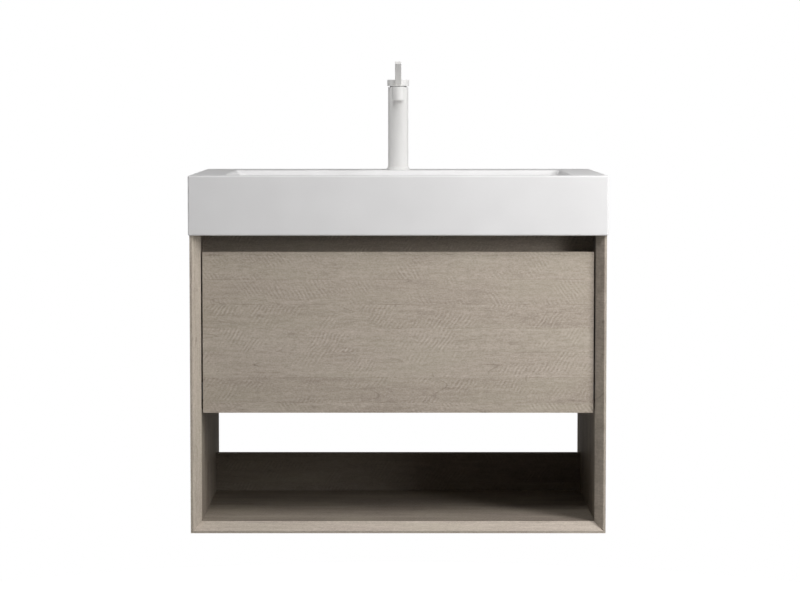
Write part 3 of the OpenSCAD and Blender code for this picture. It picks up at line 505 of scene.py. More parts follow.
    def total(self, patches: Socket, saw_depth: float) -> Socket:
        """Adds up all marks.

        Args:
            patches: socket with the slow patches.
            saw_depth: strength of the saw marks.

        Returns:
            The socket with the shade of the wood, about 0.5 in the middle.
        """
        marks = [*map(self.streaks, self.STREAKS), self.saw_marks(saw_depth), self.seams(), self.arcs(),
                 self.chain(self.lots[1], ("SUBTRACT", 0.5), ("MULTIPLY", self.PLANK_TONE)),
                 self.chain(patches, ("MULTIPLY", self.PATCH_TONE))]
        return self.chain(marks[0], *(("ADD", mark) for mark in marks[1:]), ("MULTIPLY", self.CONTRAST),
                          ("ADD", 0.5))


@dataclass(frozen=True)
class Tones:
    """Dark, middle and light colour of the decor, and the strength of its saw marks."""
    dark: str
    middle: str
    light: str
    saw_depth: float = 0.36


@dataclass(frozen=True)
class OakLaminate:
    """Melamine-faced board with a printed sawn-oak decor.

    Printed planks about 47 mm wide, each with its own tone, fine streaks along the grain, patches of
    slanting saw marks and faint seams give the eye a dry, rough-sawn, grey-beige oak. Some staves lean
    to a greyish green. There is almost no sheen, even at a glancing angle.
    """
    name: str
    grain: Grain
    tones: Tones
    tone_ends: Pair = (0.05, 0.95)
    green: str = "#aba591"
    green_span: Pair = (-0.10, 0.20)
    green_share: float = 0.22
    gloss_span: Pair = (0.2, 0.8)
    roughness: Pair = (0.66, 0.54)
    relief: float = 0.6
    relief_mm: float = 0.25
    specular: float = 0.03

    @functools.cache
    def material(self) -> bpy.types.Material:
        """Builds the material once.

        Returns:
            The material.
        """
        made, tree = blank_material(self.name)
        decor = OakDecor(tree, self.grain)
        patches = decor.streaks(decor.PATCHES)
        total = decor.total(patches, self.tones.saw_depth)
        ramp = add(tree, "ShaderNodeValToRGB", {"Fac": total})
        for stop, position, colour in zip(ramp.color_ramp.elements, self.tone_ends,
                                          (self.tones.dark, self.tones.light)):
            stop.position = position
            stop.color = linear(colour)
        ramp.color_ramp.elements.new(0.5).color = linear(self.tones.middle)
        green = add(tree, "ShaderNodeMapRange",
                    {"Value": patches, "From Min": self.green_span[0], "From Max": self.green_span[1],
                     "To Min": 0.0, "To Max": self.green_share}).outputs[0]
        tinted = add(tree, "ShaderNodeMix", {0: green, 6: ramp.outputs[0], 7: linear(self.green)},
                     data_type="RGBA")
        gloss = add(tree, "ShaderNodeMapRange",
                    {"Value": total, "From Min": self.gloss_span[0], "From Max": self.gloss_span[1],
                     "To Min": self.roughness[0], "To Max": self.roughness[1]})
        relief = add(tree, "ShaderNodeBump",
                     {"Height": total, "Strength": self.relief, "Distance": self.relief_mm * MM})
        shader = add(tree, "ShaderNodeBsdfPrincipled",
                     {"Base Color": tinted.outputs[2], "Roughness": gloss.outputs[0],
                      "Normal": relief.outputs[0], "Specular IOR Level": self.specular})
        add(tree, "ShaderNodeOutputMaterial", {"Surface": shader.outputs[0]})
        return made


AnyFinish = Finish | OakLaminate

OUTER = Tones("#908579", "#b5a99c", "#d2c8bd")
INNER = Tones("#82776c", "#a3988c", "#bcb2a6")
# Painted shade: the niche's inner faces, divider and low back rail take a deeper tone of the same decor
NICHE_PAINTED_SHADE = Tones("#6e655c", "#897f75", "#9f968c")
# Noses and bevels are banded with straight-grained staves that hardly have saw marks. The sill's
# bevel, which faces up and forward, takes a paler tone: painted light
BAND = Tones("#8e857a", "#b5aa9e", "#d3cabe", saw_depth=0.05)
SILL_PAINTED_LIGHT = Tones("#9d9287", "#c6baae", "#e4dace", saw_depth=0.05)

OAK_ACROSS = OakLaminate("Oak_laminate_grain_across", Grain.ACROSS, OUTER)
OAK_UP = OakLaminate("Oak_laminate_grain_up", Grain.UP, OUTER)
INNER_ACROSS = OakLaminate("Inner_oak_laminate_grain_across", Grain.ACROSS, INNER)
INNER_BACK = OakLaminate("Inner_oak_laminate_grain_back", Grain.BACK, INNER)
# Painted shade of the niche, in the deeper tones above
NICHE_PAINTED_SHADE_ACROSS = OakLaminate("Niche_painted_shade_oak_grain_across", Grain.ACROSS, NICHE_PAINTED_SHADE)
NICHE_PAINTED_SHADE_UP = OakLaminate("Niche_painted_shade_oak_grain_up", Grain.UP, NICHE_PAINTED_SHADE)
BAND_ACROSS = OakLaminate("Oak_edge_band_grain_across", Grain.ACROSS, BAND)
BAND_UP = OakLaminate("Oak_edge_band_grain_up", Grain.UP, BAND)
# Painted light on the sill's bevel, which faces up and forward
SILL_PAINTED_LIGHT_ACROSS = OakLaminate("Sill_painted_light_oak_band_grain_across", Grain.ACROSS, SILL_PAINTED_LIGHT)
# Beech dowels, raw: a warm, close grain along the dowel
BEECH = Finish("Raw_beech", "#c9a878", "#dcc198", (0.6, 0.75), (18.0, 0.8, 0.8), 0.05, specular=0.3)
# Vitreous china under a fired satin glaze: very even white, with a slow ripple in the gloss
CERAMIC = Finish("Satin_glazed_vitreous_china", "#e6e5e5", "#eae9e9", (0.34, 0.42), (90.0, 90.0, 90.0),
                 0.03, specular=0.25, detail=1.0)
# Polyester powder coat, sprayed and baked: matt white with the skin of a fine orange peel
POWDER_COAT = Finish("White_powder_coat", "#e4e3e1", "#e9e8e6", (0.38, 0.46), (0.9, 0.9, 0.9), 0.01,
                     specular=0.4)
# Bright chrome over nickel on brass: a clear dark-and-light mirror with faint polishing marks
CHROME = Finish("Polished_chrome_plate", "#c9cccf", "#d6d8da", (0.05, 0.10), (6.0, 6.0, 1.2), 0.002,
                metallic=1.0)
# Rolled sheet, zinc-plated and passivated: blue-grey with a cloudy spangle some 4 mm across
ZINC = Finish("Zinc_plated_sheet", "#8f959a", "#b4b9bc", (0.30, 0.46), (4.0, 4.0, 4.0), 0.01,
              metallic=1.0, detail=4.0)
# Zinc plate passivated black: a dull, near-black neck under the white cap, black as its own finish
# and in part as painted shade for the shaded gap under the cap
BLACK_ZINC_PAINTED_SHADE = Finish("Black_zinc_and_painted_shade", "#33322f", "#454440", (0.45, 0.60), (2.5, 2.5, 0.8), 0.006,
                    metallic=0.6)
# Drawn and bright zinc-plated steel: lighter, with draw lines along the runner
STEEL = Finish("Bright_drawn_steel", "#a9adb0", "#c2c5c7", (0.22, 0.34), (0.7, 30.0, 0.7), 0.008,
               metallic=1.0)
# Brass turned on a lathe: fine rings across the axis
BRASS = Finish("Turned_brass", "#b4924a", "#cbaa62", (0.20, 0.32), (6.0, 6.0, 0.35), 0.006, metallic=1.0)
# Injection-moulded polypropylene: milky white with a smooth, slightly waxy skin
POLYPROPYLENE = Finish("White_polypropylene", "#dededb", "#e6e6e3", (0.28, 0.38), (14.0, 14.0, 14.0), 0.02)
# Glass-filled nylon from a spark-eroded mould: grey with a fine matt grain
NYLON = Finish("Grey_nylon", "#666a6d", "#767a7d", (0.50, 0.62), (0.6, 0.6, 0.6), 0.03)
# Moulded nitrile rubber: matt black with a dusty bloom
RUBBER = Finish("Black_rubber", "#1f1f1f", "#2b2b2b", (0.70, 0.85), (1.5, 1.5, 1.5), 0.02, specular=0.3)


# ---------- pieces on the frame ----------

def place(piece: Piece, body: str, slot: str, finish: AnyFinish, *replaced: str) -> Piece:
    """Gives a piece its finish and its body, hides the CAD nodes it stands for and logs its slot.

    Args:
        piece: finished object.
        body: CAD body it moves with.
        slot: material slot of the record.
        finish: its finish.
        replaced: CAD nodes it stands for.

    Returns:
        The same object.
    """
    piece.data.materials.clear()
    piece.data.materials.append(finish.material())
    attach(piece, body)
    if replaced:
        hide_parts(*replaced)
    LOG.info("%s rides on %s in %s, %d faces", piece.name, body, slot, len(piece.data.polygons))
    return piece


def arrised(node: str, body: str, slot: str, finish: AnyFinish, arris: float, steps: int = 2) -> Piece:
    """Copies a CAD node, rounds its edges and puts the copy in its place.

    Args:
        node: CAD node that the piece copies and stands for.
        body: CAD body it moves with.
        slot: material slot of the record.
        finish: its finish.
        arris: width of the rounding in mm.
        steps: facets across the rounding.

    Returns:
        The piece.
    """
    return place(settle(cad_copy(node), arris, steps), body, slot, finish, node)


def face_with(piece: Piece, finish: OakLaminate, *towards: Point) -> None:
    """Faces the flat sides of a board that look certain ways with another finish.

    Args:
        piece: the board.
        finish: finish of those sides.
        towards: directions that those sides look along.
    """
    piece.data.materials.append(finish.material())
    ways = [Vector(way).normalized() for way in towards]
    for polygon in piece.data.polygons:
        if any(polygon.normal.dot(way) > SAME_WAY for way in ways):
            polygon.material_index = len(piece.data.materials) - 1


def dress(node: str, finish: AnyFinish) -> None:
    """Gives a CAD node that stays its finish.

    Args:
        node: name of the CAD node.
        finish: its finish.
    """
    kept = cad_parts[node]
    if not kept.material_slots:
        kept.data.materials.append(None)
    for held in kept.material_slots:
        held.material = finish.material()
    LOG.info("%s stays as built, in %s", node, finish.name)


# ---------- geometry nodes ----------

class Repeat:
    """A Geometry Nodes tree that repeats one small shape, with named inputs for its sizes."""

    def __init__(self, name: str, **inputs: str) -> None:
        """Starts the tree with its named inputs.

        Args:
            name: name of the tree.
            inputs: socket type of each input, by its name with underscores for blanks.
        """
        self.tree = bpy.data.node_groups.new(name, "GeometryNodeTree")
        self.sockets = {label: self.tree.interface.new_socket(name=label.replace("_", " "), in_out="INPUT",
                                                              socket_type="NodeSocket" + kind)
                        for label, kind in inputs.items()}
        self.tree.interface.new_socket(name="Geometry", in_out="OUTPUT", socket_type="NodeSocketGeometry")
        self.given = add(self.tree, "NodeGroupInput").outputs

    def end(self, geometry: Socket) -> None:
        """Realizes the instances, gives them their material and closes the tree.

        Args:
            geometry: socket with the repeated shape.
        """
        real = add(self.tree, "GeometryNodeRealizeInstances", {0: geometry})
        smooth = add(self.tree, "GeometryNodeSetShadeSmooth", {0: real.outputs[0]})
        painted = add(self.tree, "GeometryNodeSetMaterial",
                      {"Geometry": smooth.outputs[0], "Material": self.given["Material"]})
        add(self.tree, "NodeGroupOutput", {0: painted.outputs[0]})

    def make(self, name: str, **values: object) -> Piece:
        """Runs the tree once and keeps what it makes as a plain mesh.

        Args:
            name: name of the piece.
            values: value of each input, by its name with underscores for blanks.

        Returns:
            The new object.
        """
        made = new_object(name, bpy.data.meshes.new(name))
        modifier = made.modifiers.new("repeat", "NODES")
        modifier.node_group = self.tree
        for label, value in values.items():
            modifier[self.sockets[label].identifier] = value
        return apply_modifiers(made)


class RibRing(Repeat):
    """Upright rounded ribs in a ring about an axis: the grip of a nut."""
    RIB_SIDES = 10

    def __init__(self) -> None:
        """Builds the tree."""
        super().__init__("rib_ring", Count="Int", Radius="Float", Rib_radius="Float", Length="Float",
                         Centre="Vector", Tilt="Vector", Material="Material")
        ring = add(self.tree, "GeometryNodeMeshCircle",
                   {"Vertices": self.given["Count"], "Radius": self.given["Radius"]})
        rib = add(self.tree, "GeometryNodeMeshCylinder",
                  {"Vertices": self.RIB_SIDES, "Radius": self.given["Rib radius"],
                   "Depth": self.given["Length"]})
        rows = add(self.tree, "GeometryNodeInstanceOnPoints",
                   {"Points": ring.outputs[0], "Instance": rib.outputs["Mesh"]})
        turned = add(self.tree, "GeometryNodeTransform",
                     {"Geometry": rows.outputs[0], "Translation": self.given["Centre"],
                      "Rotation": self.given["Tilt"]})
        self.end(turned.outputs[0])


class Threads(Repeat):
    """Ridges stacked along an upright axis: the crests of a screw thread."""
    TURN_SIDES = 48
    CREST_SIDES = 4

    def __init__(self) -> None:
        """Builds the tree."""
        super().__init__("threads", Count="Int", Pitch="Vector", Radius="Float", Crest="Float",
                         Start="Vector", Material="Material")
        crest = add(self.tree, "GeometryNodeCurvePrimitiveCircle",
                    {"Resolution": self.TURN_SIDES, "Radius": self.given["Radius"]}, mode="RADIUS")
        profile = add(self.tree, "GeometryNodeCurvePrimitiveCircle",
                      {"Resolution": self.CREST_SIDES, "Radius": self.given["Crest"]}, mode="RADIUS")
        ridge = add(self.tree, "GeometryNodeCurveToMesh", {0: crest.outputs[0], 1: profile.outputs[0]})
        line = add(self.tree, "GeometryNodeMeshLine",
                   {"Count": self.given["Count"], "Start Location": self.given["Start"],
                    "Offset": self.given["Pitch"]}, mode="OFFSET")
        rows = add(self.tree, "GeometryNodeInstanceOnPoints",
                   {"Points": line.outputs[0], "Instance": ridge.outputs[0]})
        self.end(rows.outputs[0])


# ---------- sub-assemblies ----------

# The CAD nodes that the scene's own pieces stand for, sit on or ring
BOWL, DECK, SIDE_WALLS, END_WALLS = (extent("basin_" + part)
                                     for part in ("bowl", "deck", "side_walls", "end_walls"))
PLUG, NUTS, OUTLET = (extent(node) for node in ("waste_plug", "trap_nuts", "trap_outlet_pipe"))
FOOT, BODY, STUD = (extent("tap_" + part) for part in ("foot", "body", "stud"))


@dataclass
class Carcass:
    """Mitred oak-look carcass with its rails, divider and knock-down fittings. Sizes in mm."""
    arris: float = 0.5
    rail_arris: float = 0.4
    bevel: Pair = (20.0, 15.5)

    def build(self) -> None:
        """Builds the boards and dresses the fittings."""
        deep, wide = self.bevel
        for side, inward in (("left", 1), ("right", -1)):
            panel = arrised("side_panel_" + side, "cabinet", "oak", OAK_UP, self.arris)
            # The niche side of each panel takes the deeper tone of painted shade
            face_with(panel, NICHE_PAINTED_SHADE_UP, (inward, 0, 0))
            face_with(panel, BAND_UP, (0, -1, 0), (inward * deep, -wide, 0))
        floor = arrised("bottom_panel", "cabinet", "oak", OAK_ACROSS, self.arris)
        # The floor's top, inside the niche, takes the deeper tone of painted shade
        face_with(floor, NICHE_PAINTED_SHADE_ACROSS, (0, 0, 1))
        face_with(floor, BAND_ACROSS, (0, -1, 0))
        # The sill's bevel, facing up and forward, takes the paler tone of painted light
        face_with(floor, SILL_PAINTED_LIGHT_ACROSS, (0, -wide, deep))
        # The divider and the low back rail, which close the niche, take the deeper tone of painted shade
        for node, finish in (("finger_rail", OAK_ACROSS), ("divider_panel", NICHE_PAINTED_SHADE_ACROSS),
                             ("hanging_rail", INNER_ACROSS), ("low_back_rail", NICHE_PAINTED_SHADE_ACROSS)):
            arrised(node, "cabinet", "oak_inner", finish, self.rail_arris)
        for node, finish in (("dowels", BEECH), ("cam_locks", ZINC), ("cam_bolts", STEEL)):
            dress(node, finish)


@dataclass
class Hangers:
    """Housings in the top corners, their hooks and screws, and the two wall plates. Sizes in mm."""
    arris: float = 0.25

    def build(self) -> None:
        """Builds the housings, hooks and plates."""
        arrised("hangers", "cabinet", "zinc", ZINC, self.arris)
        arrised("hanger_hooks", "cabinet", "steel", STEEL, self.arris)
        arrised("wall_plates", "cabinet", "zinc", ZINC, self.arris)
        dress("hanger_screws", STEEL)


@dataclass
class Drawer:
    """Grooved drawer box with its recess round the trap, behind a grip-edge front. Sizes in mm."""
    front_arris: float = 0.7
    board_arris: float = 0.4

    def build(self) -> None:
        """Builds the front and the box boards."""
        arrised("drawer_front", "drawer", "oak", OAK_ACROSS, self.front_arris, steps=3)
        across = ("drawer_inner_front", "drawer_bottom", "drawer_backs", "recess_wall_front")
        back = ("drawer_side_left", "drawer_side_right", "recess_side_walls")
        for nodes, finish in ((across, INNER_ACROSS), (back, INNER_BACK)):
            for node in nodes:
                arrised(node, "drawer", "oak_inner", finish, self.board_arris)
        dress("drawer_screws", STEEL)


@dataclass
class Runners:
    """Full-extension undermount runners with their clips and screws. Sizes in mm."""
    arris: float = 0.2
    clip_arris: float = 0.8

    def build(self) -> None:
        """Builds the three members of each runner and the clips."""
        arrised("cabinet_rails", "cabinet", "zinc", ZINC, self.arris)
        for side in ("left", "right"):
            arrised("middle_rail_" + side, "runner_" + side, "steel", STEEL, self.arris)
            arrised("drawer_rail_" + side, "drawer", "zinc", ZINC, self.arris)
        arrised("locking_clips", "drawer", "grey_plastic", NYLON, self.clip_arris, steps=3)
        dress("rail_screws", STEEL)


@dataclass
class Basin:
    """Ceramic basin in one skin: outer walls, deck, leaning bowl, drain and hollow underside.

    Sizes in mm. A half is half of a width and half of a depth.
    """
    half: Pair = (DECK.high[0], -DECK.low[1] / 2)
    foot_z: float = SIDE_WALLS.low[2]
    deck_z: float = DECK.high[2]
    deck_t: float = DECK.high[2] - DECK.low[2]
    shell_t: float = SIDE_WALLS.high[0] - END_WALLS.high[0]
    edge_r: float = 3.0
    least_r: float = 0.3
    edge_steps: int = 5
    corner_steps: int = 9

    # The rim rolls over from the deck into the leaning wall. It takes a share of the wall's lean, and
    # the wall starts so many of the rim's radii below the deck.
    rim_r: float = 3.5
    rim_lean: float = 0.5
    rim_end: float = 1.6
    rim_steps: int = 6

    # The bowl's wall leans in by so much over its depth, and is rounded into the floor
    bowl_half: Pair = (333.0, 172.0)
    bowl_y: float = BOWL.middle[1]
    bowl_depth: float = 88.0
    lean: Pair = (42.0, 28.0)
    lean_depth: float = 60.0
    top_r: float = 14.0
    floor_r: float = 24.0
    least_corner: float = 0.6
    wall_steps: int = 3
    bowl_steps: int = 8

    # The recess for the plug, with points round its edge: out from its radius and down from the floor
    drain: Pair = PLUG.middle[:2]
    recess_r: Pair = (34.0, 32.0)
    recess_deep: float = 4.0
    recess_edge: tuple[Pair, ...] = ((1.2, 0.0), (0.3, 0.35), (-0.3, 1.2))
    drain_r: float = 22.5
    drain_edge: float = 0.8
    boss_r: float = 38.0
    boss_low: float = BOWL.low[2]
    boss_edge: float = 1.0

    # The hollow underside
    hollow_r: float = 2.0
    hollow_edge: float = 0.6
    hollow_steps: int = 6

    tap_hole_r: float = 17.5
    drill_past: float = 5.0
    drill_steps: int = 64

    def ring(self, centre: Pair, half: Pair, radius: float, z: float) -> Ring:
        """Points of a rounded rectangle at one height.

        Args:
            centre: x and y of its middle.
            half: half its width and half its depth.
            radius: corner radius.
            z: height.

        Returns:
            The ring, anticlockwise from the right-hand side.
        """
        points: Ring = []
        for quarter, (sx, sy) in enumerate(((1, 1), (-1, 1), (-1, -1), (1, -1))):
            cx, cy = centre[0] + sx * (half[0] - radius), centre[1] + sy * (half[1] - radius)
            for k in range(self.corner_steps + 1):
                turn = pi / 2 * (quarter + k / self.corner_steps)
                points.append((cx + radius * cos(turn), cy + radius * sin(turn), z))
        return points

    def wall_ring(self, inset: float, radius: float, z: float) -> Ring:
        """One ring set in from the walls' outer faces, with its corner radius, at a height."""
        return self.ring((0.0, -self.half[1]), (self.half[0] - inset, self.half[1] - inset), radius, z)

    def outer_rings(self) -> list[Ring]:
        """Rings up the outer walls, from their rounded foot to their rounded top.

        Returns:
            The rings, from the foot up.
        """
        r = self.edge_r
        quarter = [pi / 2 * k / self.edge_steps for k in range(self.edge_steps + 1)]
        foot = [(r - r * sin(a), self.foot_z + r - r * cos(a)) for a in quarter]
        top = [(r - r * cos(a), self.deck_z - r + r * sin(a)) for a in quarter]
        return [self.wall_ring(inset, max(r - inset, self.least_r), z) for inset, z in foot + top]

    def rim_rings(self) -> list[Ring]:
        """Rings over the rim.

        Returns:
            The rings, from the deck inwards.
        """
        slope = atan2(self.bowl_half[0] - self.wall(0, self.lean_depth, 0)[0], self.lean_depth)
        rings = []
        for k in range(self.rim_steps + 1):
            turn = (pi / 2 - slope) * k / self.rim_steps
            out = self.rim_r * (1 - sin(turn))
            z = self.deck_z - self.rim_r * (1 - cos(turn))
            lift = (self.deck_z - z) * tan(slope) * self.rim_lean
            half = (self.bowl_half[0] + out - lift, self.bowl_half[1] + out - lift)
            rings.append(self.ring((0, self.bowl_y), half, self.top_r + out, z))
        return rings

    def wall(self, axis: int, deep: float, grow: float) -> Pair:
        """Half size of the bowl at a depth below the deck.

        Args:
            axis: 0 for the width, 1 for the depth.
            deep: distance below the deck.
            grow: how far outside the bowl's surface.

        Returns:
            Half size, and the depth at which the leaning wall meets the floor's rounding.
        """
        top, radius = self.bowl_half[axis] + grow, self.floor_r + grow
        inner = self.bowl_half[axis] - self.lean[axis] - self.floor_r
        sink = self.bowl_depth - self.floor_r
        span = hypot(top - inner, sink)
        heading = atan2(sink, inner - top) - asin(radius / span)
        reach = sqrt(span ** 2 - radius ** 2)
        meet = reach * sin(heading)
        if deep <= meet:
            return top + deep / tan(heading), meet
        return inner + sqrt(max(radius ** 2 - (deep - sink) ** 2, 0)), meet

    def bowl_rings(self, start: float, grow: float, steps: int) -> list[Ring]:
        """Rings down the bowl, from a depth below the deck to its floor.

        Args:
            start: depth of the first ring.
            grow: how far outside the bowl's surface.
            steps: rings over the rounding at the floor.

        Returns:
            The rings, from the top down.
        """
        sink = self.bowl_depth - self.floor_r
        radius = self.floor_r + grow
        meet = self.wall(0, 0, grow)[1]
        depths = [start + (meet - start) * k / self.wall_steps for k in range(self.wall_steps + 1)]
        first = asin((meet - sink) / radius)
        depths += [sink + radius * sin(first + (pi / 2 - first) * k / steps)
                   for k in range(1, steps + 1)]
        rings = []
        for deep in depths:
            half = (self.wall(0, deep, grow)[0], self.wall(1, deep, grow)[0])
            low = sqrt(max(radius ** 2 - (min(max(deep, meet), sink + radius) - sink) ** 2, 0))
            corner = self.top_r + grow + (low - self.top_r - grow) * min(deep / meet, 1)
            corner = max(corner, self.least_corner)
            rings.append(self.ring((0, self.bowl_y), half, corner, self.deck_z - deep))
        return rings

    def drain_rings(self) -> list[Ring]:
        """Rings down the recess and the drain, and back up round its boss.

        Returns:
            The rings, from the bowl's floor to its underside.
        """
        floor = self.deck_z - self.bowl_depth
        seat = floor - self.recess_deep
        section = [(self.recess_r[0] + out, floor - down) for out, down in self.recess_edge]
        section += [(self.recess_r[1], seat), (self.drain_r + self.drain_edge, seat),
                    (self.drain_r, seat - self.drain_edge), (self.drain_r, self.boss_low),
                    (self.boss_r - self.boss_edge, self.boss_low),
                    (self.boss_r, self.boss_low + self.boss_edge), (self.boss_r, floor - self.shell_t)]
        return [self.ring(self.drain, (radius, radius), radius, z) for radius, z in section]

    def hollow_rings(self) -> list[Ring]:
        """Rings up the outside of the bowl, under the deck and down inside the walls.

        Returns:
            The rings, from the bowl's underside to the walls' foot.
        """
        rings = self.bowl_rings(self.deck_t, self.shell_t, self.hollow_steps)[::-1]
        return rings + [self.wall_ring(inset, self.hollow_r, z)
                        for inset, z in ((self.shell_t, self.deck_z - self.deck_t),
                                         (self.shell_t, self.foot_z + self.hollow_edge),
                                         (self.shell_t - self.hollow_edge, self.foot_z))]

    def build(self) -> None:
        """Builds the basin's skin and cuts the tap hole."""
        rings = self.outer_rings() + self.rim_rings()
        rings += self.bowl_rings(self.rim_r * self.rim_end, 0, self.bowl_steps)
        basin = loft("Basin", rings + self.drain_rings() + self.hollow_rings())
        low, high = DECK.low[2] - self.drill_past, self.deck_z + self.drill_past
        drill = lathe("drill", [(0, low), (self.tap_hole_r, low), (self.tap_hole_r, high), (0, high)],
                      FOOT.middle[:2], self.drill_steps)
        cut = basin.modifiers.new("tap hole", "BOOLEAN")
        cut.operation = "DIFFERENCE"
        cut.solver = "EXACT"
        cut.object = drill
        apply_modifiers(basin)
        bpy.data.objects.remove(drill)
        place(settle(basin), "cabinet", "ceramic", CERAMIC, "basin_bowl", "basin_deck", "basin_ledge",
              "basin_side_walls", "basin_end_walls")


@dataclass
class WasteAndTrap:
    """Flanged pop-up waste with its nut and seals, and the bottle trap with its ribs. Sizes in mm."""
    drain: Pair = PLUG.middle[:2]
    plug_r: float = PLUG.high[0]
    plug_top: float = PLUG.high[2]
    plug_rim: float = 1.2
    plug_rise: float = 3.5
    # Points round the rolled edge: in from the plug's radius, and up from its rim and its underside
    rim_edge: tuple[Pair, ...] = ((0.35, 0.15), (0.0, -0.3))
    low_edge: tuple[Pair, ...] = ((0.0, 0.4), (0.4, 0.0))
    dome_steps: int = 14
    plug_steps: int = 128
    stem_low: float = PLUG.low[2]
    stem_r: float = 3.95
    stem_foot_h: float = 3.0
    # Radius and height above the stem's end of the points round its foot
    stem_foot: tuple[Pair, ...] = ((6.3, 2.8), (6.5, 2.4), (6.5, 0.4), (6.1, 0.0))

    nut_r: float = NUTS.high[0]
    ribs_on_nut: int = 24
    rib_r: float = 1.3
    rib_sunk: float = 0.9
    rib_long: float = 14.0
    rib_from_end: float = 2.0

    def plug(self) -> None:
        """Builds the domed plug with its rolled edge and its stem."""
        rim = self.plug_top - self.plug_rise
        low = rim - self.plug_rim
        dome_r = (self.plug_r ** 2 + self.plug_rise ** 2) / (2 * self.plug_rise)
        turns = [asin(self.plug_r / dome_r) * k / self.dome_steps for k in range(self.dome_steps)]
        section = [(dome_r * sin(a), self.plug_top - dome_r * (1 - cos(a))) for a in turns]
        for z, edge in ((rim, self.rim_edge), (low, self.low_edge)):
            section += [(self.plug_r - inset, z + up) for inset, up in edge]
        section += [(self.stem_r, low), (self.stem_r, self.stem_low + self.stem_foot_h)]
        section += [(radius, self.stem_low + up) for radius, up in self.stem_foot] + [(0, self.stem_low)]
        plug = settle(lathe("Waste_plug", section, self.drain, self.plug_steps))
        place(plug, "waste_plug", "chrome", CHROME, "waste_plug")

    def ribs(self) -> None:
        """Adds grip ribs to the trap's upper nut and to its outlet nut."""
        ring = RibRing()
        inwards = self.rib_from_end + self.rib_long / 2
        upper = (self.drain[0], self.drain[1], NUTS.high[2] - inwards)
        outlet = (0.0, NUTS.high[1] - inwards, OUTLET.middle[2])
        for name, centre, tilt in (("Upper_nut_ribs", upper, 0.0), ("Outlet_nut_ribs", outlet, pi / 2)):
            ribs = ring.make(name, Count=self.ribs_on_nut, Radius=(self.nut_r - self.rib_sunk) * MM,
                             Rib_radius=self.rib_r * MM, Length=self.rib_long * MM,
                             Centre=tuple(c * MM for c in centre), Tilt=(tilt, 0.0, 0.0),
                             Material=POLYPROPYLENE.material())
            place(ribs, "cabinet", "white_plastic", POLYPROPYLENE)

    def build(self) -> None:
        """Builds the waste and the trap, then the ribs."""
        self.plug()
        arrised("waste_body", "cabinet", "chrome", CHROME, arris=0.4, steps=3)
        for node, arris, steps in (("waste_nut", 0.8, 3), ("trap_head", 1.0, 3), ("trap_cup", 0.5, 2),
                                   ("trap_nuts", 0.8, 3), ("trap_inlet_pipe", 0.4, 2),
                                   ("trap_outlet_pipe", 0.4, 2)):
            arrised(node, "cabinet", "white_plastic", POLYPROPYLENE, arris, steps)
        dress("drain_seals", RUBBER)
        self.ribs()


@dataclass
class ScrewThreads:
    """Crests of the threads on the waste and on the tap's stud.

    Sizes in mm: how many ridges, their pitch, their radius and half their width.
    """
    waste: tuple[int, float, float, float] = (18, 1.8, 18.75, 0.55)
    stud: tuple[int, float, float, float] = (40, 1.0, 2.75, 0.3)
    stud_end: float = 0.5

    def build(self) -> None:
        """Builds both threads from their lowest ridge up."""
        threads = Threads()
        waste_at = (*PLUG.middle[:2], PLUG.low[2])
        stud_at = (*STUD.middle[:2], STUD.low[2] + self.stud_end)
        for name, slot, finish, sizes, at in (("Waste_thread", "chrome", CHROME, self.waste, waste_at),
                                              ("Stud_thread", "steel", STEEL, self.stud, stud_at)):
            count, pitch, radius, crest = sizes
            crests = threads.make(name, Count=count, Pitch=(0.0, 0.0, pitch * MM), Radius=radius * MM,
                                  Crest=crest * MM, Start=tuple(c * MM for c in at),
                                  Material=finish.material())
            place(crests, "cabinet", slot, finish)


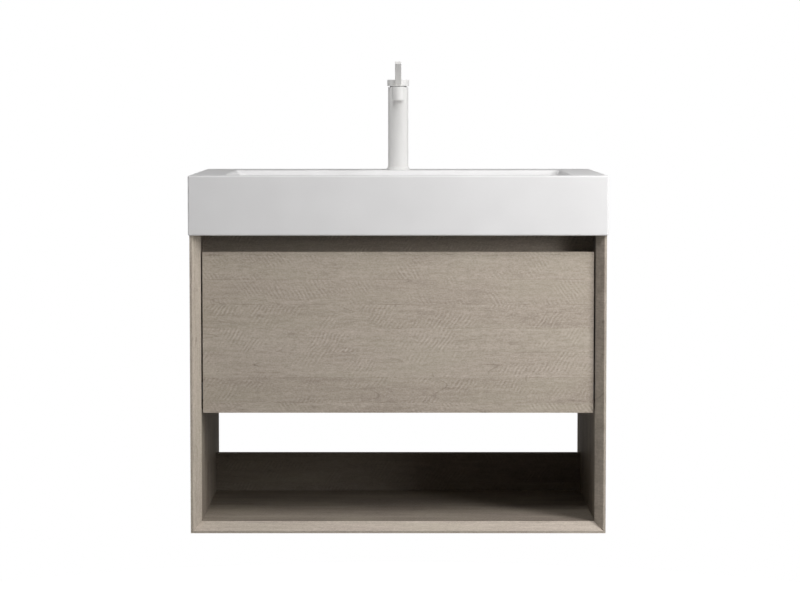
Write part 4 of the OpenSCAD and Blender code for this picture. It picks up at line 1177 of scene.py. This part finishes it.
@dataclass
class Tap:
    """Single-lever mixer: body on a flared foot, straight spout, cup-shaped cap and lever.

    Sizes in mm.
    """
    centre: Pair = FOOT.middle[:2]
    deck_z: float = FOOT.low[2]
    foot_r: float = FOOT.high[0]
    foot_h: float = FOOT.high[2] - FOOT.low[2]
    foot_gap: float = 0.05
    body_r: float = BODY.high[0]
    # The flare leaves the body this thick and ends above and inside the lip, in steps of some degrees
    neck_t: float = 0.4
    neck_edge: Pair = (0.2, 0.1)
    flare_step: int = 8
    lip_h: float = 1.2
    lip_t: float = 0.4
    # Points round the lip: in from the foot's radius and up from the deck
    lip: tuple[Pair, ...] = ((0.25, 1.15), (0.0, 0.9), (0.0, 0.2), (0.2, 0.0))

    def foot(self) -> None:
        """Builds the foot, whose flare is one hollow arc with a soft lip."""
        inner = self.body_r + self.foot_gap
        top = self.deck_z + self.foot_h
        hollow = self.foot_h - self.lip_h
        turns = [radians(turn) for turn in range(0, 90, self.flare_step)]
        arc = [(inner + self.neck_t + hollow * (1 - cos(a)), top - hollow * sin(a)) for a in turns]
        section = [(inner, self.deck_z), (inner, top - self.neck_edge[1]), (inner + self.neck_edge[0], top)]
        section += [point for point in arc if point[0] < self.foot_r - self.lip_t]
        section += [(self.foot_r - inset, self.deck_z + up) for inset, up in self.lip]
        foot = settle(lathe("Tap_foot", section, self.centre))
        place(foot, "cabinet", "white_metal", POWDER_COAT, "tap_foot")

    def build(self) -> None:
        """Builds the tap from its foot up."""
        self.foot()
        for node, body, slot, finish, arris, steps in (
                ("tap_body", "cabinet", "white_metal", POWDER_COAT, 0.5, 3),
                ("tap_spout", "cabinet", "white_metal", POWDER_COAT, 1.0, 3),
                ("tap_aerator", "cabinet", "white_plastic", POLYPROPYLENE, 0.15, 2),
                ("tap_inlets", "cabinet", "brass", BRASS, 0.3, 2),
                ("tap_clamp_plate", "cabinet", "zinc", ZINC, 0.4, 2),
                ("tap_stud_nut", "cabinet", "brass", BRASS, 0.4, 2),
                # The neck's near-black is partly painted shade for the gap under the cap
                ("cartridge_nut", "cabinet", "zinc", BLACK_ZINC_PAINTED_SHADE, 0.2, 2),
                ("handle_cap", "handle", "white_metal", POWDER_COAT, 0.6, 3),
                ("lever", "handle", "white_metal", POWDER_COAT, 0.9, 3)):
            arrised(node, body, slot, finish, arris, steps)
        for node, finish in (("tap_gasket", RUBBER), ("tap_stud", STEEL), ("cartridge", NYLON),
                             ("mixer_carrier", BRASS), ("mixer_spindle", STEEL), ("grub_screw", STEEL)):
            dress(node, finish)


# ---------- studio ----------

@dataclass(frozen=True)
class Lamp:
    """A soft white area lamp, mirrored in shiny surfaces or not. Sizes in metres, power in watts."""
    name: str
    at: Point
    aim: Point
    size: Pair
    power: float
    mirrored: bool = True

    def build(self) -> None:
        """Hangs the lamp and turns it to its aim."""
        data = bpy.data.lights.new(self.name, "AREA")
        data.shape = "RECTANGLE"
        data.size, data.size_y = self.size
        data.energy = self.power
        lamp = new_object(self.name, data)
        lamp.location = self.at
        lamp.rotation_euler = (Vector(self.aim) - Vector(self.at)).to_track_quat("-Z", "Y").to_euler()
        lamp.visible_camera = False
        lamp.visible_glossy = self.mirrored


@dataclass
class Studio:
    """Plain pale floor, white surround, soft lamps and the camera. Sizes in metres."""
    floor_at: Point = (0.0, -0.3, -1.11)
    floor_r: float = 2.55
    floor_sides: int = 128
    floor_tones: tuple[str, str] = ("#eeeeee", "#f2f2f2")
    floor_cloud: float = 3.0
    floor_roughness: float = 0.9
    floor_specular: float = 0.1
    # The floor's own light as the camera sees it, and the distances over which it goes up to white
    glow: Pair = (0.42, 1.0)
    glow_from: float = 0.5
    glow_margin: float = 0.25
    world_light: float = 0.045
    world_gloss: float = 0.30
    # Without their mirror images, the key leaves the basin's deck unclipped and the back lamp leaves
    # the niche dark
    lamps: tuple[Lamp, ...] = (
        Lamp("Key", (1.45, -1.45, 1.05), (0.0, -0.45, 0.0), (0.5, 2.4), 48.0, mirrored=False),
        Lamp("Front_fill", (-0.1, -2.4, 2.7), (0.0, -0.45, -0.1), (1.2, 1.0), 30.5),
        Lamp("Left_rim", (-2.5, -0.28, 0.45), (0.0, -0.05, 0.25), (0.8, 0.6), 17.0),
        Lamp("Back_fill", (0.0, 2.6, -0.75), (0.0, 0.0, 0.1), (1.0, 0.5), 12.0, mirrored=False),
    )
    # The camera looks down by some degrees, and its shift frames the object as the photograph does
    camera_at: Point = (0.0, -4.8984, 0.318)
    camera_tilt: float = 3.281
    camera_shift: Pair = (0.00226, -0.08)
    camera_range: float = 60.0
    sensor_mm: float = 36.0
    lens_mm: float = 104.6

    def floor_material(self) -> bpy.types.Material:
        """Builds the floor's material.

        Seen by the camera, the lit floor comes up to white and its shadow stays grey. Towards its edge it
        gets whiter still, so that it runs into the white surround.

        Returns:
            The material.
        """
        made, tree = blank_material("Matt_white_floor")
        place_at = add(tree, "ShaderNodeTexCoord").outputs["Object"]
        cloud = add(tree, "ShaderNodeTexNoise",
                    {"Vector": place_at, "Scale": self.floor_cloud, "Detail": 2.0}).outputs["Fac"]
        shade = add(tree, "ShaderNodeValToRGB", {"Fac": cloud})
        for stop, colour in zip(shade.color_ramp.elements, self.floor_tones):
            stop.color = linear(colour)
        out = add(tree, "ShaderNodeVectorMath", {0: place_at, 1: self.floor_at}, operation="DISTANCE")
        glow = add(tree, "ShaderNodeMapRange",
                   {"Value": out.outputs["Value"], "From Min": self.glow_from,
                    "From Max": self.floor_r - self.glow_margin,
                    "To Min": self.glow[0], "To Max": self.glow[1]},
                   interpolation_type="SMOOTHSTEP").outputs[0]
        seen = chain(tree, add(tree, "ShaderNodeLightPath").outputs["Is Camera Ray"], ("MULTIPLY", glow))
        shader = add(tree, "ShaderNodeBsdfPrincipled",
                     {"Base Color": shade.outputs[0], "Roughness": self.floor_roughness,
                      "Specular IOR Level": self.floor_specular, "Emission Color": (1, 1, 1, 1),
                      "Emission Strength": seen})
        add(tree, "ShaderNodeOutputMaterial", {"Surface": shader.outputs[0]})
        return made

    def floor(self) -> None:
        """Lays the floor, which keeps the object's shadow and shows white beside it."""
        fill = bmesh.new()
        bmesh.ops.create_circle(fill, cap_ends=True, segments=self.floor_sides, radius=self.floor_r)
        bmesh.ops.translate(fill, verts=fill.verts, vec=self.floor_at)
        floor = closed("Floor", fill)
        floor.data.materials.append(self.floor_material())

    def world(self) -> None:
        """Sets the surround: white to the eye, pale grey in reflections and faint as a light."""
        world = bpy.data.worlds.new("Studio")
        bpy.context.scene.world = world
        world.use_nodes = True
        tree = world.node_tree
        tree.nodes.clear()
        path = add(tree, "ShaderNodeLightPath")
        strength = chain(tree, path.outputs["Is Glossy Ray"], ("MULTIPLY", self.world_gloss),
                         ("MAXIMUM", path.outputs["Is Camera Ray"]),
                         ("MAXIMUM", path.outputs["Is Transmission Ray"]), ("MAXIMUM", self.world_light))
        back = add(tree, "ShaderNodeBackground", {"Color": (1, 1, 1, 1), "Strength": strength})
        add(tree, "ShaderNodeOutputWorld", {"Surface": back.outputs[0]})

    def camera(self) -> None:
        """Sets up the camera at the object's front, a little above it, looking slightly down."""
        data = bpy.data.cameras.new("Camera")
        data.sensor_width = self.sensor_mm
        data.lens = self.lens_mm
        data.shift_x, data.shift_y = self.camera_shift
        data.clip_end = self.camera_range
        camera = new_object("Camera", data)
        camera.location = self.camera_at
        camera.rotation_euler = (radians(90 - self.camera_tilt), 0.0, 0.0)
        bpy.context.scene.camera = camera

    def build(self) -> None:
        """Builds the studio."""
        self.floor()
        self.world()
        self.camera()
        for lamp in self.lamps:
            lamp.build()
        bpy.context.scene.view_settings.view_transform = "Standard"


def main() -> None:
    """Builds the studio and every sub-assembly."""
    logging.basicConfig(level=logging.INFO, format="%(name)s: %(message)s")
    for assembly in (Studio, Carcass, Hangers, Drawer, Runners, Basin, WasteAndTrap, ScrewThreads, Tap):
        assembly().build()
    bpy.context.view_layer.update()


if __name__ == "__main__":
    main()
